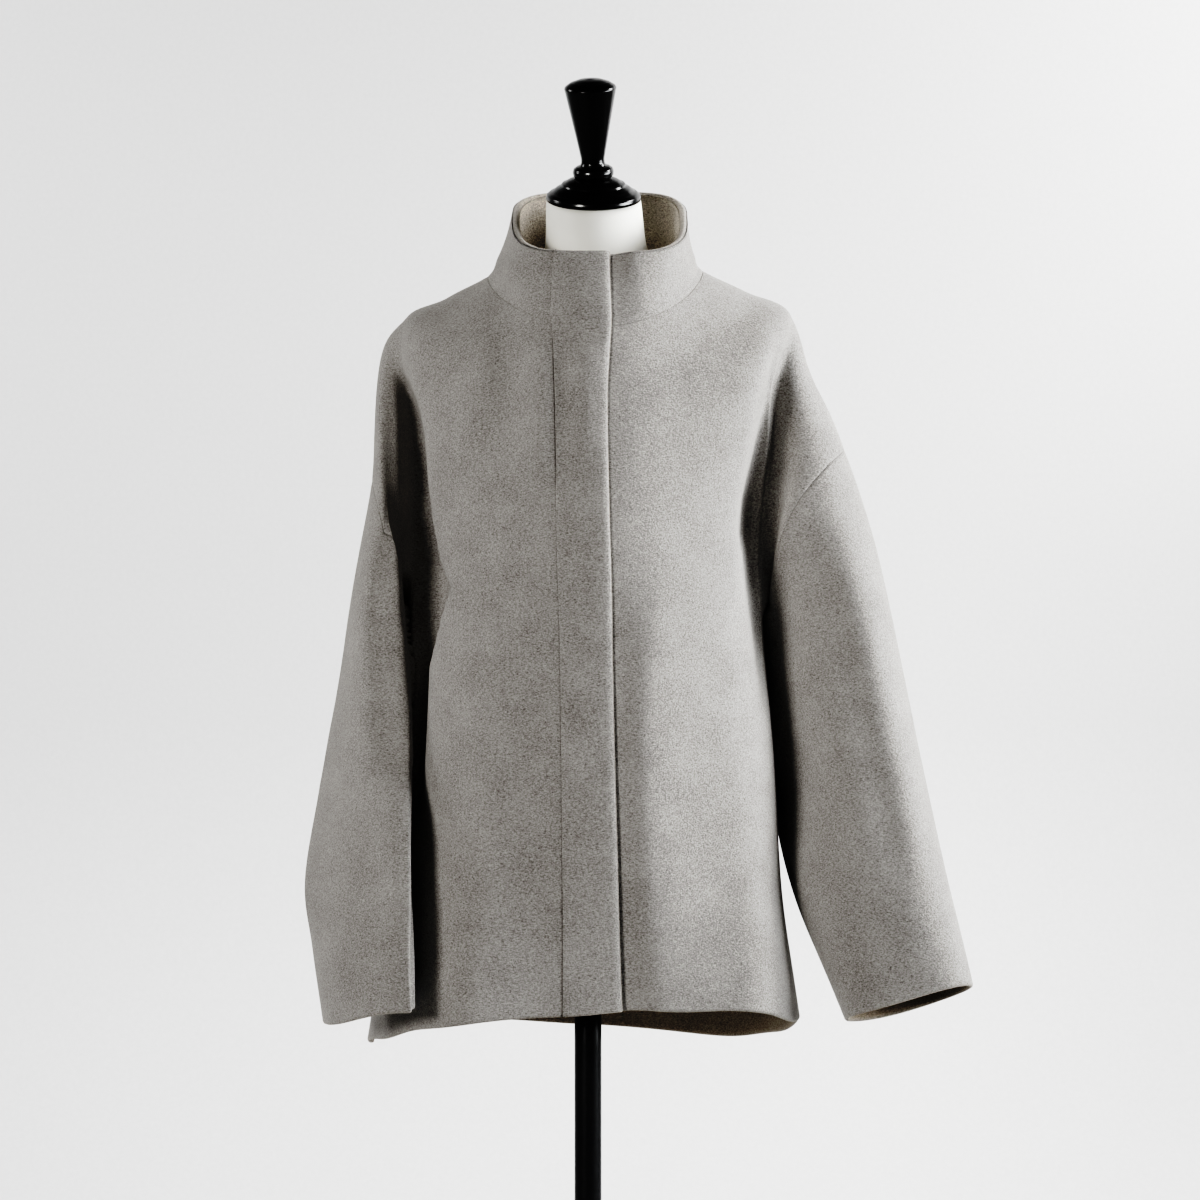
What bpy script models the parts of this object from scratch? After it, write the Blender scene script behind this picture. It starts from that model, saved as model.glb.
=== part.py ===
"""Wool blouson with a funnel collar, worn by a limbless dress form on a stand.

Metres, +Z up, the front towards -Y, the origin under the middle of the stand's foot. The tables
give millimetres. Left and right in the names are the wearer's, so the right front is at -X.
"""
import math

import bpy
import numpy as np
from mathutils import Matrix

MM = 0.001

CLOTH = 3.0
COLLAR_WALL = 5.0
BAND_WALL = 6.0
BAND_PROUD = 0.8
SEAM_GAP = 0.3
EDGE_PULL = 0.75 * SEAM_GAP
UNDERLAP_DROP = 6.6
UNDERLAP_FADE = 26.0

ARM_FRONT_SHARE = 0.10
ARM_BACK_SHARE = 0.14
BEND_WEIGHT = 35.0
LEAST_MITRE = 0.4
RELAX_TURNS = 3

POLE_RADIUS = 13.5
HUB_TOP = 78.0
FORM_BOTTOM = 735.0

CAP_TILT = math.radians(17.0)
FINIAL_LEAN = math.radians(-2.0)
FINIAL_FOOT = 24.8
CAP_SEAT = (5.5, -12.5, 1470.0)
TURN_STEPS = 36
FORM_COLUMNS = 36

# Level rings of the coat from hem to collar rim, each a superellipse in plan
RING_COLUMNS = (
    "z_front z_left z_back z_right back_tilt x_mid y_left y_right half_width front back "
    "front_square back_square rise seam_x edge_x"
).split()
COAT_RINGS = {
    "hem": (672, 662, 629, 632, -26, -5, 6, 18, 217, 158, 152, 2.6, 2.3, 1.6, -24, 34),
    "low": (787, 778, 756, 758, -12, -4, 2, 34, 198, 158, 148, 2.6, 2.3, 1.8, -24, 30),
    "mid": (930, 924, 912, 920, 0, 0.5, -14, 40, 184.5, 156, 140, 2.6, 2.4, 2, -25, 26),
    "under": (1068, 1058, 1060, 1058, 0, -2, 2, 36, 176, 150, 130, 2.6, 2.6, 2, -27, 23),
    "chest": (1150, 1159, 1160, 1159, 0, 1, 16, 28, 172, 145, 124, 2.7, 2.6, 2, -29, 21),
    "upper": (1222, 1273, 1262, 1273, 0, 4, 12, 12, 187, 132, 112, 2.8, 2.5, 2, -30, 20),
    "shoulder": (1272, 1354, 1338, 1355, 0, 11, 0, 0, 194, 121, 97, 2.6, 2.4, 2, -31, 20),
    "yoke": (1306, 1380, 1374, 1377, 0, 8, 0, 0, 148, 116, 82, 2.4, 2.3, 1.8, -31, 21),
    "neck": (1337, 1400, 1403, 1395, 0, 7, 0, 0, 106, 110, 68, 2.3, 2.3, 1.5, -31, 22),
    "collar_low": (1362, 1417, 1430, 1415, 0, 8, 0, 0, 97, 106, 67, 2.4, 2.6, 1.3, -31, 22),
    "collar_high": (1389, 1437, 1458, 1437, 0, 10, 0, 0, 91, 100, 67, 2.8, 3, 1.1, -32, 22),
    "rim": (1415, 1458, 1486, 1461, 0, 12, 0, 0, 87, 95, 67, 3.2, 3.4, 1, -32, 22),
}
RING_STEPS = (4, 4, 4, 3, 4, 3, 2, 2, 2, 2, 2)
ARM_ROWS = ("under", "shoulder")
NECK_ROW = "neck"

# Columns of the coat's grid between its long lines, counted from the middle of the back
LINES = "back_mid arm_rb side_r arm_rf seam edge arm_lf side_l arm_lb".split()
LINE_STEPS = (9, 2, 2, 9, 3, 8, 2, 2, 9)

# Sections of the sleeves from the drop of the shoulder to the cuff
SLEEVE_COLUMNS = (
    "outer_x outer_y outer_z inner_x inner_y inner_z front back lean pitch bow square"
).split()
LEFT_SLEEVE = {
    "drop": (232, 4, 1314, 187, 30, 1058, 46, 54, 0, 0, 12, 2.0),
    "armhole": (258, 6, 1228, 186, 50, 1042, 72, 60, 0, 0, 32, 2.1),
    "upper": (288, 6, 1140, 174, 90, 1016, 90, 40, 6, 2, 12, 2.2),
    "bicep": (312, 0, 1020, 183, 80, 966, 96, 40, 10, 4, 0, 2.4),
    "elbow": (335, -20, 897, 190, 76, 868, 94, 40, 12, 8, 0, 2.4),
    "forearm": (355, -48, 796, 208, -6, 770, 72, 48, 12, 12, 0, 2.4),
    "cuff": (376, -80, 697, 249, -84, 668, 44, 42, 6, 14, 0, 2.4),
}
RIGHT_SLEEVE = {
    "drop": (-212, 4, 1322, -184, 40, 1060, 38, 46, 0, 0, 2, 2.0),
    "armhole": (-216, 6, 1196, -184, 52, 1044, 72, 56, 2, 0, 2, 2.0),
    "upper": (-232, 0, 1112, -177, 88, 1010, 88, 50, 2, 0, 0, 2.0),
    "bicep": (-249, -6, 1000, -190, 38, 960, 92, 74, 12, 2, 0, 2.0),
    "overarm": (-266, -32, 890, -182, -84, 862, 84, 86, 23, 4, 0, 2.1),
    "elbow": (-279, -64, 798, -171, -132, 790, 64, 74, 20, 4, 0, 2.1),
    "forearm": (-270, -98, 736, -167, -152, 730, 54, 56, 11, 2, 0, 2.1),
    "cuff": (-258, -120, 661, -166, -158, 675, 48, 46, 6, 0, 0, 2.1),
}
SHOULDER_STEPS = 3
SLEEVE_STEPS = 2
ARMHOLE_ROW = "armhole"

# Rings of the dress form from its base board to the top of the neck
FORM_RINGS = {
    "board": (735, 735, 735, 735, 0, 0, 0, 0, 158, 112, 112, 2.2, 2.2, 2, 0, 0),
    "hip": (778, 778, 778, 778, 0, 0, 0, 0, 166, 118, 120, 2.2, 2.2, 2, 0, 0),
    "high_hip": (870, 870, 870, 870, 0, 0, 0, 0, 150, 112, 104, 2.2, 2.2, 2, 0, 0),
    "waist": (985, 985, 985, 985, 0, 2, 0, 0, 120, 95, 82, 2.2, 2.2, 2, 0, 0),
    "ribs": (1072, 1075, 1075, 1075, 0, 4, 0, 0, 130, 110, 88, 2.3, 2.2, 2, 0, 0),
    "bust": (1146, 1155, 1155, 1155, 0, 4, 0, 0, 142, 124, 94, 2.4, 2.3, 2, 0, 0),
    "chest": (1215, 1262, 1250, 1262, 0, 6, 0, 0, 162, 110, 92, 2.4, 2.3, 2, 0, 0),
    "shoulder": (1262, 1344, 1326, 1345, 0, 9, 0, 0, 176, 102, 80, 2.4, 2.3, 2, 0, 0),
    "yoke": (1296, 1369, 1362, 1366, 0, 9, 0, 0, 138, 98, 66, 2.3, 2.2, 1.8, 0, 0),
    "neck_base": (1330, 1389, 1393, 1386, 0, 8, 0, 0, 76, 84, 50, 2.1, 2.1, 1.5, 0, 0),
    "neck": (1388, 1419, 1437, 1417, 0, 8, 0, 0, 53, 66, 38, 2.0, 2.0, 1.2, 0, 0),
    "neck_top": (1457.31, 1473.82, 1482.99, 1473.82, 0, 5.5, 0, 0, 47, 54, 30, 2.0, 2.0, 1, 0, 0),
}
FORM_STEPS = (1, 2, 3, 2, 2, 2, 2, 1, 1, 2, 2)

# Turned profiles: radius and height above the seat
CAP_PROFILE = (
    (0, 0.5), (44.5, 0.5), (46.8, 1.8), (47.4, 4), (46.6, 7), (43.5, 9.6), (41, 10.6), (37, 14),
    (32.5, 16.4), (31.4, 18.6), (28.6, 19.6), (25, 22), (20, 24), (0, 24),
)
FINIAL_PROFILE = (
    (0, 0), (18.2, 0), (20, 2.3), (20.4, 5.9), (19.4, 8.9), (16.5, 10.9), (13, 11.9), (11.7, 14.9),
    (11.7, 18.9), (13.4, 27.9), (18.4, 52.9), (25.3, 86.9), (25.9, 89.5), (25, 91.5), (20, 94.9),
    (12, 97.7), (0, 99.3),
)
FOOT_PROFILE = (
    (0, 0), (174, 0), (178, 3), (178, 9), (174, 13), (60, 20), (30, 26), (23, 34), (21, 46), (21, 76),
    (19, 78), (0, 78),
)


def clear_scene():
    for thing in list(bpy.data.objects):
        bpy.data.objects.remove(thing, do_unlink=True)


def table(columns, rows):
    """One array of values for each named column."""
    values = np.array(list(rows.values()), float)
    return {name: values[:, k] for k, name in enumerate(columns)}


def spline(values, at):
    """Smooth curve through the values at whole numbers, taken at the fractional places `at`."""
    values = np.asarray(values, float)
    ends = np.concatenate([2 * values[:1] - values[1:2], values, 2 * values[-1:] - values[-2:-1]])
    k = np.clip(np.floor(at).astype(int), 0, len(values) - 2)
    f = np.asarray(at, float) - k
    f = f.reshape(f.shape + (1,) * (values.ndim - 1))
    a, b, c, d = ends[k], ends[k + 1], ends[k + 2], ends[k + 3]
    return b + 0.5 * f * (c - a + f * (2 * a - 5 * b + 4 * c - d + f * (3 * (b - c) + d - a)))


def places(steps):
    """Fractional row numbers that part each interval into its number of steps."""
    parts = [k + np.arange(n) / n for k, n in enumerate(steps)]
    return np.concatenate(parts + [[len(steps)]])


def dense_ring(r):
    """Closed ring from the middle of the back round by the right side: points and bend-weighted run."""
    a = np.linspace(-math.pi, math.pi, 1441)
    c, s = np.cos(a), np.sin(a)
    power = 2 / np.where(c > 0, r["front_square"], r["back_square"])
    x = r["x_mid"] + r["half_width"] * np.sign(s) * np.abs(s) ** power
    y_side = r["y_right"] + (r["y_left"] - r["y_right"]) * (1 + s) / 2
    depth = np.where(c > 0, r["front"] + y_side, r["back"] - y_side)
    share = np.abs(c) ** power
    y = y_side - depth * np.sign(c) * share
    side = r["z_right"] + (r["z_left"] - r["z_right"]) * (1 + s) / 2
    z = side + (np.where(c > 0, r["z_front"], r["z_back"]) - side) * share ** r["rise"]
    z = z + np.where(c > 0, 0, r["back_tilt"]) * s * share
    p = np.stack([x, y, z], 1)
    step = np.diff(p, axis=0)
    heading = np.unwrap(np.arctan2(step[:, 1], step[:, 0]))
    bend = np.abs(np.diff(heading, prepend=heading[:1]))
    run = np.concatenate([[0], np.cumsum(np.linalg.norm(step, axis=1) + BEND_WEIGHT * bend)])
    return p, run


def ring_row(r, steps):
    """One row of the coat's grid: the ring's points at its long lines and at even steps between."""
    p, run = dense_ring(r)
    quarter = (len(p) - 1) // 4
    side_r, middle, side_l = run[quarter], run[2 * quarter], run[3 * quarter]
    front = slice(quarter + 60, 3 * quarter - 60)
    lines = [
        0,
        side_r * (1 - ARM_BACK_SHARE),
        side_r,
        side_r + (middle - side_r) * ARM_FRONT_SHARE,
        np.interp(r["seam_x"], p[front, 0], run[front]),
        np.interp(r["edge_x"], p[front, 0], run[front]),
        side_l - (side_l - middle) * ARM_FRONT_SHARE,
        side_l,
        side_l + (run[-1] - side_l) * ARM_BACK_SHARE,
        run[-1],
    ]
    at = np.interp(places(steps)[:-1], np.arange(len(lines)), lines)
    return np.stack([np.interp(at, run, p[:, k]) for k in range(3)], 1)


def ring_grid(rows, ring_steps, line_steps):
    columns = table(RING_COLUMNS, rows)
    at = places(ring_steps)
    values = {name: spline(column, at) for name, column in columns.items()}
    return np.stack([ring_row({n: v[k] for n, v in values.items()}, line_steps) for k in range(len(at))])


def half_section(centre, long_half, reach, bow, square, count):
    """Points at even steps from the outer to the inner end of half a sleeve section."""
    t = np.linspace(0, math.pi, 361)[:, None]
    c = np.sign(np.cos(t)) * np.abs(np.cos(t)) ** (2 / square)
    s = np.sin(t) ** (2 / square)
    p = centre + c * long_half + s * reach + s * s * bow
    run = np.concatenate([[0], np.cumsum(np.linalg.norm(np.diff(p, axis=0), axis=1))])
    at = np.linspace(0, run[-1], count + 1)
    return np.stack([np.interp(at, run, p[:, k]) for k in range(3)], 1)


def sleeve_section(r, half_count):
    """Closed sleeve section from the outer end by the front to the inner end and round the back."""
    outer = np.array([r["outer_x"], r["outer_y"], r["outer_z"]])
    inner = np.array([r["inner_x"], r["inner_y"], r["inner_z"]])
    inward = -np.sign(r["outer_x"])
    lean, pitch = math.radians(r["lean"]), math.radians(r["pitch"])
    forward = np.array([inward * math.sin(lean), -math.cos(lean) * math.cos(pitch), math.sin(pitch)])
    backward = np.array([0, math.cos(pitch), -math.sin(pitch)])
    across = (outer - inner) / np.linalg.norm(outer - inner)
    up = np.array([inward * across[2], 0, -inward * across[0]])
    middle, long_half = (outer + inner) / 2, (outer - inner) / 2
    front = half_section(middle, long_half, r["front"] * forward, r["bow"] * up, r["square"], half_count)
    back = half_section(middle, long_half, r["back"] * backward, r["bow"] * up, r["square"], half_count)
    return np.concatenate([front[:-1], back[:0:-1]])


def sleeve_grid(rows, root, root_heading, steps):
    """Sections carried from the root loop on the coat's shoulder through the table to the cuff.

    The first interval leaves the root along the coat's own surface.
    """
    columns = table(SLEEVE_COLUMNS, rows)
    count = len(rows)
    half = len(root) // 2
    made = [sleeve_section({n: v[k] for n, v in columns.items()}, half) for k in range(count)]
    rings = np.stack([root] + made)
    leave = root_heading * np.linalg.norm(rings[1] - rings[0], axis=1, keepdims=True) * 0.9
    arrive = (rings[2] - rings[0]) / 2
    first = [hermite(rings[0], leave, rings[1], arrive, f / steps[0]) for f in range(steps[0])]
    rest = spline(rings, places(steps))[steps[0]:]
    return np.concatenate([np.stack(first), rest])


def hermite(a, leave, b, arrive, f):
    g = f * f * (3 - 2 * f)
    return a * (1 - g) + b * g + leave * f * (1 - f) ** 2 - arrive * f * f * (1 - f)


class Coat:
    """The coat's outer surface as one welded grid, from which each cloth piece takes its cells."""

    def __init__(self, ring_steps, line_steps, shoulder_steps, sleeve_steps):
        self.grid = ring_grid(COAT_RINGS, ring_steps, line_steps)
        self.rows, self.columns = self.grid.shape[:2]
        names = list(COAT_RINGS)
        row_at = np.concatenate([[0], np.cumsum(ring_steps)])
        self.row = {n: int(row_at[k]) for k, n in enumerate(names)}
        line_at = np.concatenate([[0], np.cumsum(line_steps)])
        self.line = {n: int(line_at[k]) for k, n in enumerate(LINES)}
        self.index = np.arange(self.rows * self.columns).reshape(self.rows, self.columns)
        self.points = [self.grid.reshape(-1, 3)]
        self.cells = {}
        self.sleeves = {}
        for side, rows in (("left", LEFT_SLEEVE), ("right", RIGHT_SLEEVE)):
            self.add_sleeve(side, rows, shoulder_steps, sleeve_steps)
        self.points = np.concatenate(self.points)
        self.add_body_cells()
        self.relax(RELAX_TURNS * (shoulder_steps // SHOULDER_STEPS) ** 2)
        self.find_normals()

    def add_sleeve(self, side, rows, shoulder_steps, sleeve_steps):
        low, high = (self.row[n] for n in ARM_ROWS)
        letter = side[0]
        front, mid, back = (self.line[n.format(letter)] for n in ("arm_{}f", "side_{}", "arm_{}b"))
        toward = 1 if front > mid else -1
        ahead = list(range(mid, front, toward))
        behind = list(range(back, mid, toward))
        loop = [(high, c) for c in ahead]
        loop += [(r, front) for r in range(high, low, -1)]
        loop += [(low, c) for c in reversed([c + toward for c in ahead])]
        loop += [(low, c) for c in reversed([c + toward for c in behind])]
        loop += [(r, back) for r in range(low, high)]
        loop += [(high, c) for c in behind]
        loop = np.array(loop)
        out = np.zeros_like(loop)
        out[:, 0] = (loop[:, 0] == high).astype(int) - (loop[:, 0] == low)
        out[:, 1] = toward * ((loop[:, 1] == front).astype(int) - (loop[:, 1] == back))
        root = self.grid[loop[:, 0], loop[:, 1]]
        near = self.grid[loop[:, 0] + out[:, 0], loop[:, 1] + out[:, 1]]
        heading = root - near
        heading = heading / np.linalg.norm(heading, axis=1, keepdims=True)
        seam = list(rows).index(ARMHOLE_ROW) + 1
        each = [shoulder_steps] * seam + [sleeve_steps] * (len(rows) - seam)
        grid = sleeve_grid(rows, root, heading, each)
        start = sum(len(p) for p in self.points)
        index = np.arange((len(grid) - 1) * len(root)).reshape(-1, len(root)) + start
        index = np.concatenate([self.index[loop[:, 0], loop[:, 1]][None], index])
        self.points.append(grid[1:].reshape(-1, 3))
        wrap = np.concatenate([index, index[:, :1]], axis=1)
        cells = np.stack([wrap[:-1, :-1], wrap[1:, :-1], wrap[1:, 1:], wrap[:-1, 1:]], axis=-1)
        if side == "left":
            cells = cells[..., ::-1]
        self.cells[side + "_sleeve"] = cells
        self.sleeves[side] = {"index": index, "seam": seam * shoulder_steps}

    def add_body_cells(self):
        wrap = np.concatenate([self.index, self.index[:, :1]], axis=1)
        cells = np.stack([wrap[:-1, :-1], wrap[:-1, 1:], wrap[1:, 1:], wrap[1:, :-1]], axis=-1)
        kept = np.ones(cells.shape[:2], bool)
        low, high = (self.row[n] for n in ARM_ROWS)
        kept[low:high, self.line["arm_rb"]:self.line["arm_rf"]] = False
        kept[low:high, self.line["arm_lf"]:self.line["arm_lb"]] = False
        self.cells["body"] = cells
        self.kept = kept

    def all_cells(self):
        cells = [self.cells["body"][self.kept]]
        cells += [self.cells[n].reshape(-1, 4) for n in ("left_sleeve", "right_sleeve")]
        return np.concatenate(cells)

    def relax(self, turns):
        """Evens out the cloth round the armholes by drawing each point to the mean of its neighbours."""
        weight = np.zeros(len(self.points))
        for sleeve in self.sleeves.values():
            seam = sleeve["seam"]
            reach = np.arange(len(sleeve["index"])) / seam
            weight[sleeve["index"]] = (0.5 * np.clip(2 - reach, 0, 1))[:, None]
        cells = self.all_cells()
        pairs = np.concatenate([cells[:, [k, (k + 1) % 4]] for k in range(4)])
        pairs = np.unique(np.sort(pairs, axis=1), axis=0)
        a, b = np.concatenate([pairs, pairs[:, ::-1]]).T
        times = np.maximum(np.bincount(a, minlength=len(self.points)), 1)[:, None]
        for _ in range(turns):
            near = np.stack([np.bincount(a, self.points[b, k], len(self.points)) for k in range(3)], 1)
            self.points = self.points + weight[:, None] * (near / times - self.points)

    def find_normals(self):
        cells = self.all_cells()
        p = self.points[cells]
        face = np.cross(p[:, 2] - p[:, 0], p[:, 3] - p[:, 1])
        total = np.zeros_like(self.points)
        for k in range(4):
            np.add.at(total, cells[:, k], face)
        self.normals = total / np.maximum(np.linalg.norm(total, axis=1, keepdims=True), 1e-9)
        flat = face / np.linalg.norm(face, axis=1, keepdims=True)
        dots, times = np.zeros(len(total)), np.zeros(len(total))
        for k in range(4):
            np.add.at(dots, cells[:, k], (self.normals[cells[:, k]] * flat).sum(axis=1))
            np.add.at(times, cells[:, k], 1)
        self.mitre = 1 / np.clip(dots / np.maximum(times, 1), LEAST_MITRE, 1)

    def body_part(self, rows, columns):
        picked = np.zeros_like(self.kept)
        picked[rows[0]:rows[1], columns] = True
        return self.cells["body"][picked & self.kept]

    def drop_part(self, side, face):
        cells = self.cells[side + "_sleeve"][: self.sleeves[side]["seam"]]
        half = cells.shape[1] // 2
        chosen = cells[:, :half] if face == "front" else cells[:, half:]
        return chosen.reshape(-1, 4)

    def sleeve_part(self, side):
        return self.cells[side + "_sleeve"][self.sleeves[side]["seam"]:].reshape(-1, 4)

    def underlap(self):
        """Depth by which the left front's edge lies below the surface to pass under the band."""
        depth = np.zeros(len(self.points))
        edge, seam = self.line["edge"], self.line["seam"]
        step = np.linalg.norm(np.diff(self.grid[:, edge:], axis=1), axis=2)
        away = np.concatenate([np.zeros((self.rows, 1)), np.cumsum(step, axis=1)], axis=1)
        fade = np.clip(1 - away / UNDERLAP_FADE, 0, 1)
        depth[self.index[:, edge:]] = UNDERLAP_DROP * fade * fade * (3 - 2 * fade)
        depth[self.index[:, seam + 1:edge]] = UNDERLAP_DROP
        return depth


def wall_mesh(coat, cells, wall, lift):
    """Closed wall over the cells: its face lifted off the surface, its edges drawn in for the seam gap."""
    used, flat = np.unique(cells.reshape(-1), return_inverse=True)
    quads = flat.reshape(-1, 4)
    normal = coat.normals[used]
    outer = coat.points[used] + normal * np.broadcast_to(lift, len(coat.points))[used, None]
    sides = np.concatenate([quads[:, [k, (k + 1) % 4]] for k in range(4)])
    _, where, times = np.unique(np.sort(sides, axis=1), axis=0, return_inverse=True, return_counts=True)
    rim = sides[times[where.reshape(-1)] == 1]
    on_rim = np.zeros(len(used), bool)
    on_rim[rim] = True
    pull = np.zeros_like(outer)
    centre = outer[quads].mean(axis=1)
    for k in range(4):
        np.add.at(pull, quads[:, k], centre - outer[quads[:, k]])
    pull = pull / np.linalg.norm(pull, axis=1, keepdims=True)
    outer = outer + np.where(on_rim[:, None], pull * EDGE_PULL, 0)
    inner = outer - normal * (wall * coat.mitre[used])[:, None]
    count = len(used)
    a, b = rim.T
    rising = (a < b)[:, None]
    below_a, below_b = a + count, b + count
    first = np.where(rising, np.stack([b, a, below_a], 1), np.stack([b, a, below_b], 1))
    second = np.where(rising, np.stack([b, below_a, below_b], 1), np.stack([a, below_a, below_b], 1))
    faces = quads.tolist() + (quads[:, ::-1] + count).tolist() + first.tolist() + second.tolist()
    return np.concatenate([outer, inner]) * MM, faces


def form_mesh():
    """Closed body of the dress form through its rings, capped by the board and the neck's top."""
    columns = table(RING_COLUMNS, FORM_RINGS)
    at = places(FORM_STEPS)
    values = {name: spline(column, at) for name, column in columns.items()}
    rows = []
    for k in range(len(at)):
        p, run = dense_ring({n: v[k] for n, v in values.items()})
        even = np.linspace(0, run[-1], FORM_COLUMNS, endpoint=False)
        rows.append(np.stack([np.interp(even, run, p[:, j]) for j in range(3)], 1))
    rows = np.stack(rows)
    index = np.arange(rows.shape[0] * FORM_COLUMNS).reshape(rows.shape[0], FORM_COLUMNS)
    wrap = np.concatenate([index, index[:, :1]], axis=1)
    cells = np.stack([wrap[:-1, :-1], wrap[:-1, 1:], wrap[1:, 1:], wrap[1:, :-1]], axis=-1)
    low, high = index.size, index.size + 1
    points = np.concatenate([rows.reshape(-1, 3), rows[:1].mean(axis=1), rows[-1:].mean(axis=1)])
    faces = cells.reshape(-1, 4).tolist()
    faces += [[low, b, a] for a, b in zip(wrap[0, :-1].tolist(), wrap[0, 1:].tolist())]
    faces += [[high, a, b] for a, b in zip(wrap[-1, :-1].tolist(), wrap[-1, 1:].tolist())]
    return points * MM, faces


def new_material(name, colour, roughness):
    material = bpy.data.materials.new(name)
    material.use_nodes = True
    shader = material.node_tree.nodes["Principled BSDF"]
    shader.inputs["Base Color"].default_value = (*colour, 1)
    shader.inputs["Roughness"].default_value = roughness
    material.diffuse_color = (*colour, 1)
    return material


def new_object(name, mesh, material, group):
    mesh.materials.append(material)
    thing = bpy.data.objects.new(name, mesh)
    group.objects.link(thing)
    return thing


def from_faces(name, points, faces, material, group):
    mesh = bpy.data.meshes.new(name)
    mesh.from_pydata(np.asarray(points).tolist(), [], faces)
    mesh.update()
    return new_object(name, mesh, material, group)


def turned(name, profile, material, group):
    """Profile of radius and height turned about Z."""
    mesh = bpy.data.meshes.new(name)
    points = [(r * MM, 0, h * MM) for r, h in profile]
    mesh.from_pydata(points, [(k, k + 1) for k in range(len(points) - 1)], [])
    thing = new_object(name, mesh, material, group)
    screw = thing.modifiers.new("turn", "SCREW")
    screw.steps = TURN_STEPS
    screw.render_steps = TURN_STEPS
    screw.use_normal_flip = True
    screw.use_merge_vertices = True
    screw.merge_threshold = 1e-6
    return thing


def build():
    clear_scene()
    group = bpy.data.collections.new("blouson_on_dress_form")
    bpy.context.scene.collection.children.link(group)
    wool = (0.42, 0.40, 0.37)

    coat = Coat(RING_STEPS, LINE_STEPS, SHOULDER_STEPS, SLEEVE_STEPS)
    row, line = coat.row, coat.line
    neck, rim = row[NECK_ROW], coat.rows - 1
    last = coat.columns
    right = list(range(line["side_r"], line["seam"]))
    under = list(range(line["seam"] + 1, line["edge"]))
    left = list(range(line["edge"], line["side_l"]))
    back = list(range(line["side_l"], last)) + list(range(0, line["side_r"]))
    below = -coat.underlap()

    pieces = {
        "front_right": (
            [coat.body_part((0, neck), right), coat.drop_part("right", "front")], CLOTH, 0.0),
        "front_left": (
            [coat.body_part((0, neck), under + left), coat.drop_part("left", "front")], CLOTH, below),
        "back": (
            [coat.body_part((0, neck), back), coat.drop_part("left", "back"),
             coat.drop_part("right", "back")], CLOTH, 0.0),
        "sleeve_right": ([coat.sleeve_part("right")], CLOTH, 0.0),
        "sleeve_left": ([coat.sleeve_part("left")], CLOTH, 0.0),
        "collar": (
            [coat.body_part((neck, rim), under + left + back + right)], COLLAR_WALL, below),
        "front_band": (
            [coat.body_part((0, rim), list(range(line["seam"], line["edge"])))], BAND_WALL, BAND_PROUD),
    }
    for name, (cells, wall, lift) in pieces.items():
        points, faces = wall_mesh(coat, np.concatenate(cells), wall, lift)
        from_faces(name, points, faces, new_material("wool_" + name, wool, 0.9), group)

    points, faces = form_mesh()
    from_faces("form_torso", points, faces, new_material("form_cover", (0.80, 0.78, 0.72), 0.8), group)
    lacquer = (0.012, 0.011, 0.011)
    seat = Matrix.Translation([v * MM for v in CAP_SEAT]) @ Matrix.Rotation(CAP_TILT, 4, "X")
    lean = Matrix.Translation((0, 0, FINIAL_FOOT * MM)) @ Matrix.Rotation(FINIAL_LEAN, 4, "Y")
    cap = turned("neck_cap", CAP_PROFILE, new_material("lacquer_neck_cap", lacquer, 0.15), group)
    cap.matrix_world = seat
    finial = turned("finial", FINIAL_PROFILE, new_material("lacquer_finial", lacquer, 0.15), group)
    finial.matrix_world = seat @ lean
    turned("stand_base", FOOT_PROFILE, new_material("base_paint", (0.015, 0.015, 0.016), 0.4), group)
    pole = ((0, HUB_TOP), (POLE_RADIUS, HUB_TOP), (POLE_RADIUS, FORM_BOTTOM), (0, FORM_BOTTOM))
    turned("stand_pole", pole, new_material("pole_paint", (0.02, 0.02, 0.022), 0.35), group)


build()
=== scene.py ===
"""Wool blouson with a funnel collar on a limbless dress form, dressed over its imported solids.

Lengths in the tables are millimetres in the part's own frame: +Z up, the front towards -Y, the
origin under the stand's foot. Left and right are the wearer's, so the right front is at -X.
"""
import math

import bpy
import numpy as np
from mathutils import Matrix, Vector


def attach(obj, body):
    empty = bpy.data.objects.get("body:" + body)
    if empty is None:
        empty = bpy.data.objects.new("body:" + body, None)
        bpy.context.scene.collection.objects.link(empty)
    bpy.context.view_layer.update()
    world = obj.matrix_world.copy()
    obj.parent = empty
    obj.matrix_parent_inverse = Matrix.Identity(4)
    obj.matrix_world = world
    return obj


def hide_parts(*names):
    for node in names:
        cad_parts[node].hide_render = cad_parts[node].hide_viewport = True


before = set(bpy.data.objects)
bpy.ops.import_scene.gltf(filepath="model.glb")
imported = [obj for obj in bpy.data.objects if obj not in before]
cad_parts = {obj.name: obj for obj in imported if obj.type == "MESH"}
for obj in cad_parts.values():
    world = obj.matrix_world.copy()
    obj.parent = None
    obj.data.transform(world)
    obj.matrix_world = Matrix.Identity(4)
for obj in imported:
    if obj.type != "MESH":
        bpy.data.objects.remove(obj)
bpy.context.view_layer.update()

bl_info = {
    "name": "Wool blouson on a dress form",
    "version": (1, 0, 0),
    "blender": (4, 5, 0),
    "location": "View3D > Sidebar > Blouson",
    "description": "Builds the cloth, dress form, stand and studio of a wool blouson",
    "category": "Object",
}

MM = 0.001

# Grid: steps in each unit of the tables below, and how far they draw together beside a seam
FINE = 6
CLOSE_UP = 0.7
RING_POINTS = 1441
SECTION_POINTS = 721
BLOCK = 8192

# Seams: space between two pieces, share of it taken from each edge, depth and spread of the groove
SEAM_GAP = 0.3
EDGE_PULL = 0.1 * SEAM_GAP
SEAM_ROUND = 0.12
SEAM_DIP = 0.4
SEAM_SPREAD = 2.2

# Armholes: shares of the front and back that they take, weight of bends in a ring's spacing, evening out
ARM_FRONT_SHARE = 0.10
ARM_BACK_SHARE = 0.14
BEND_WEIGHT = 35.0
RELAX_TURNS = 3
ROOT_PULL = 0.9

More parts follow.
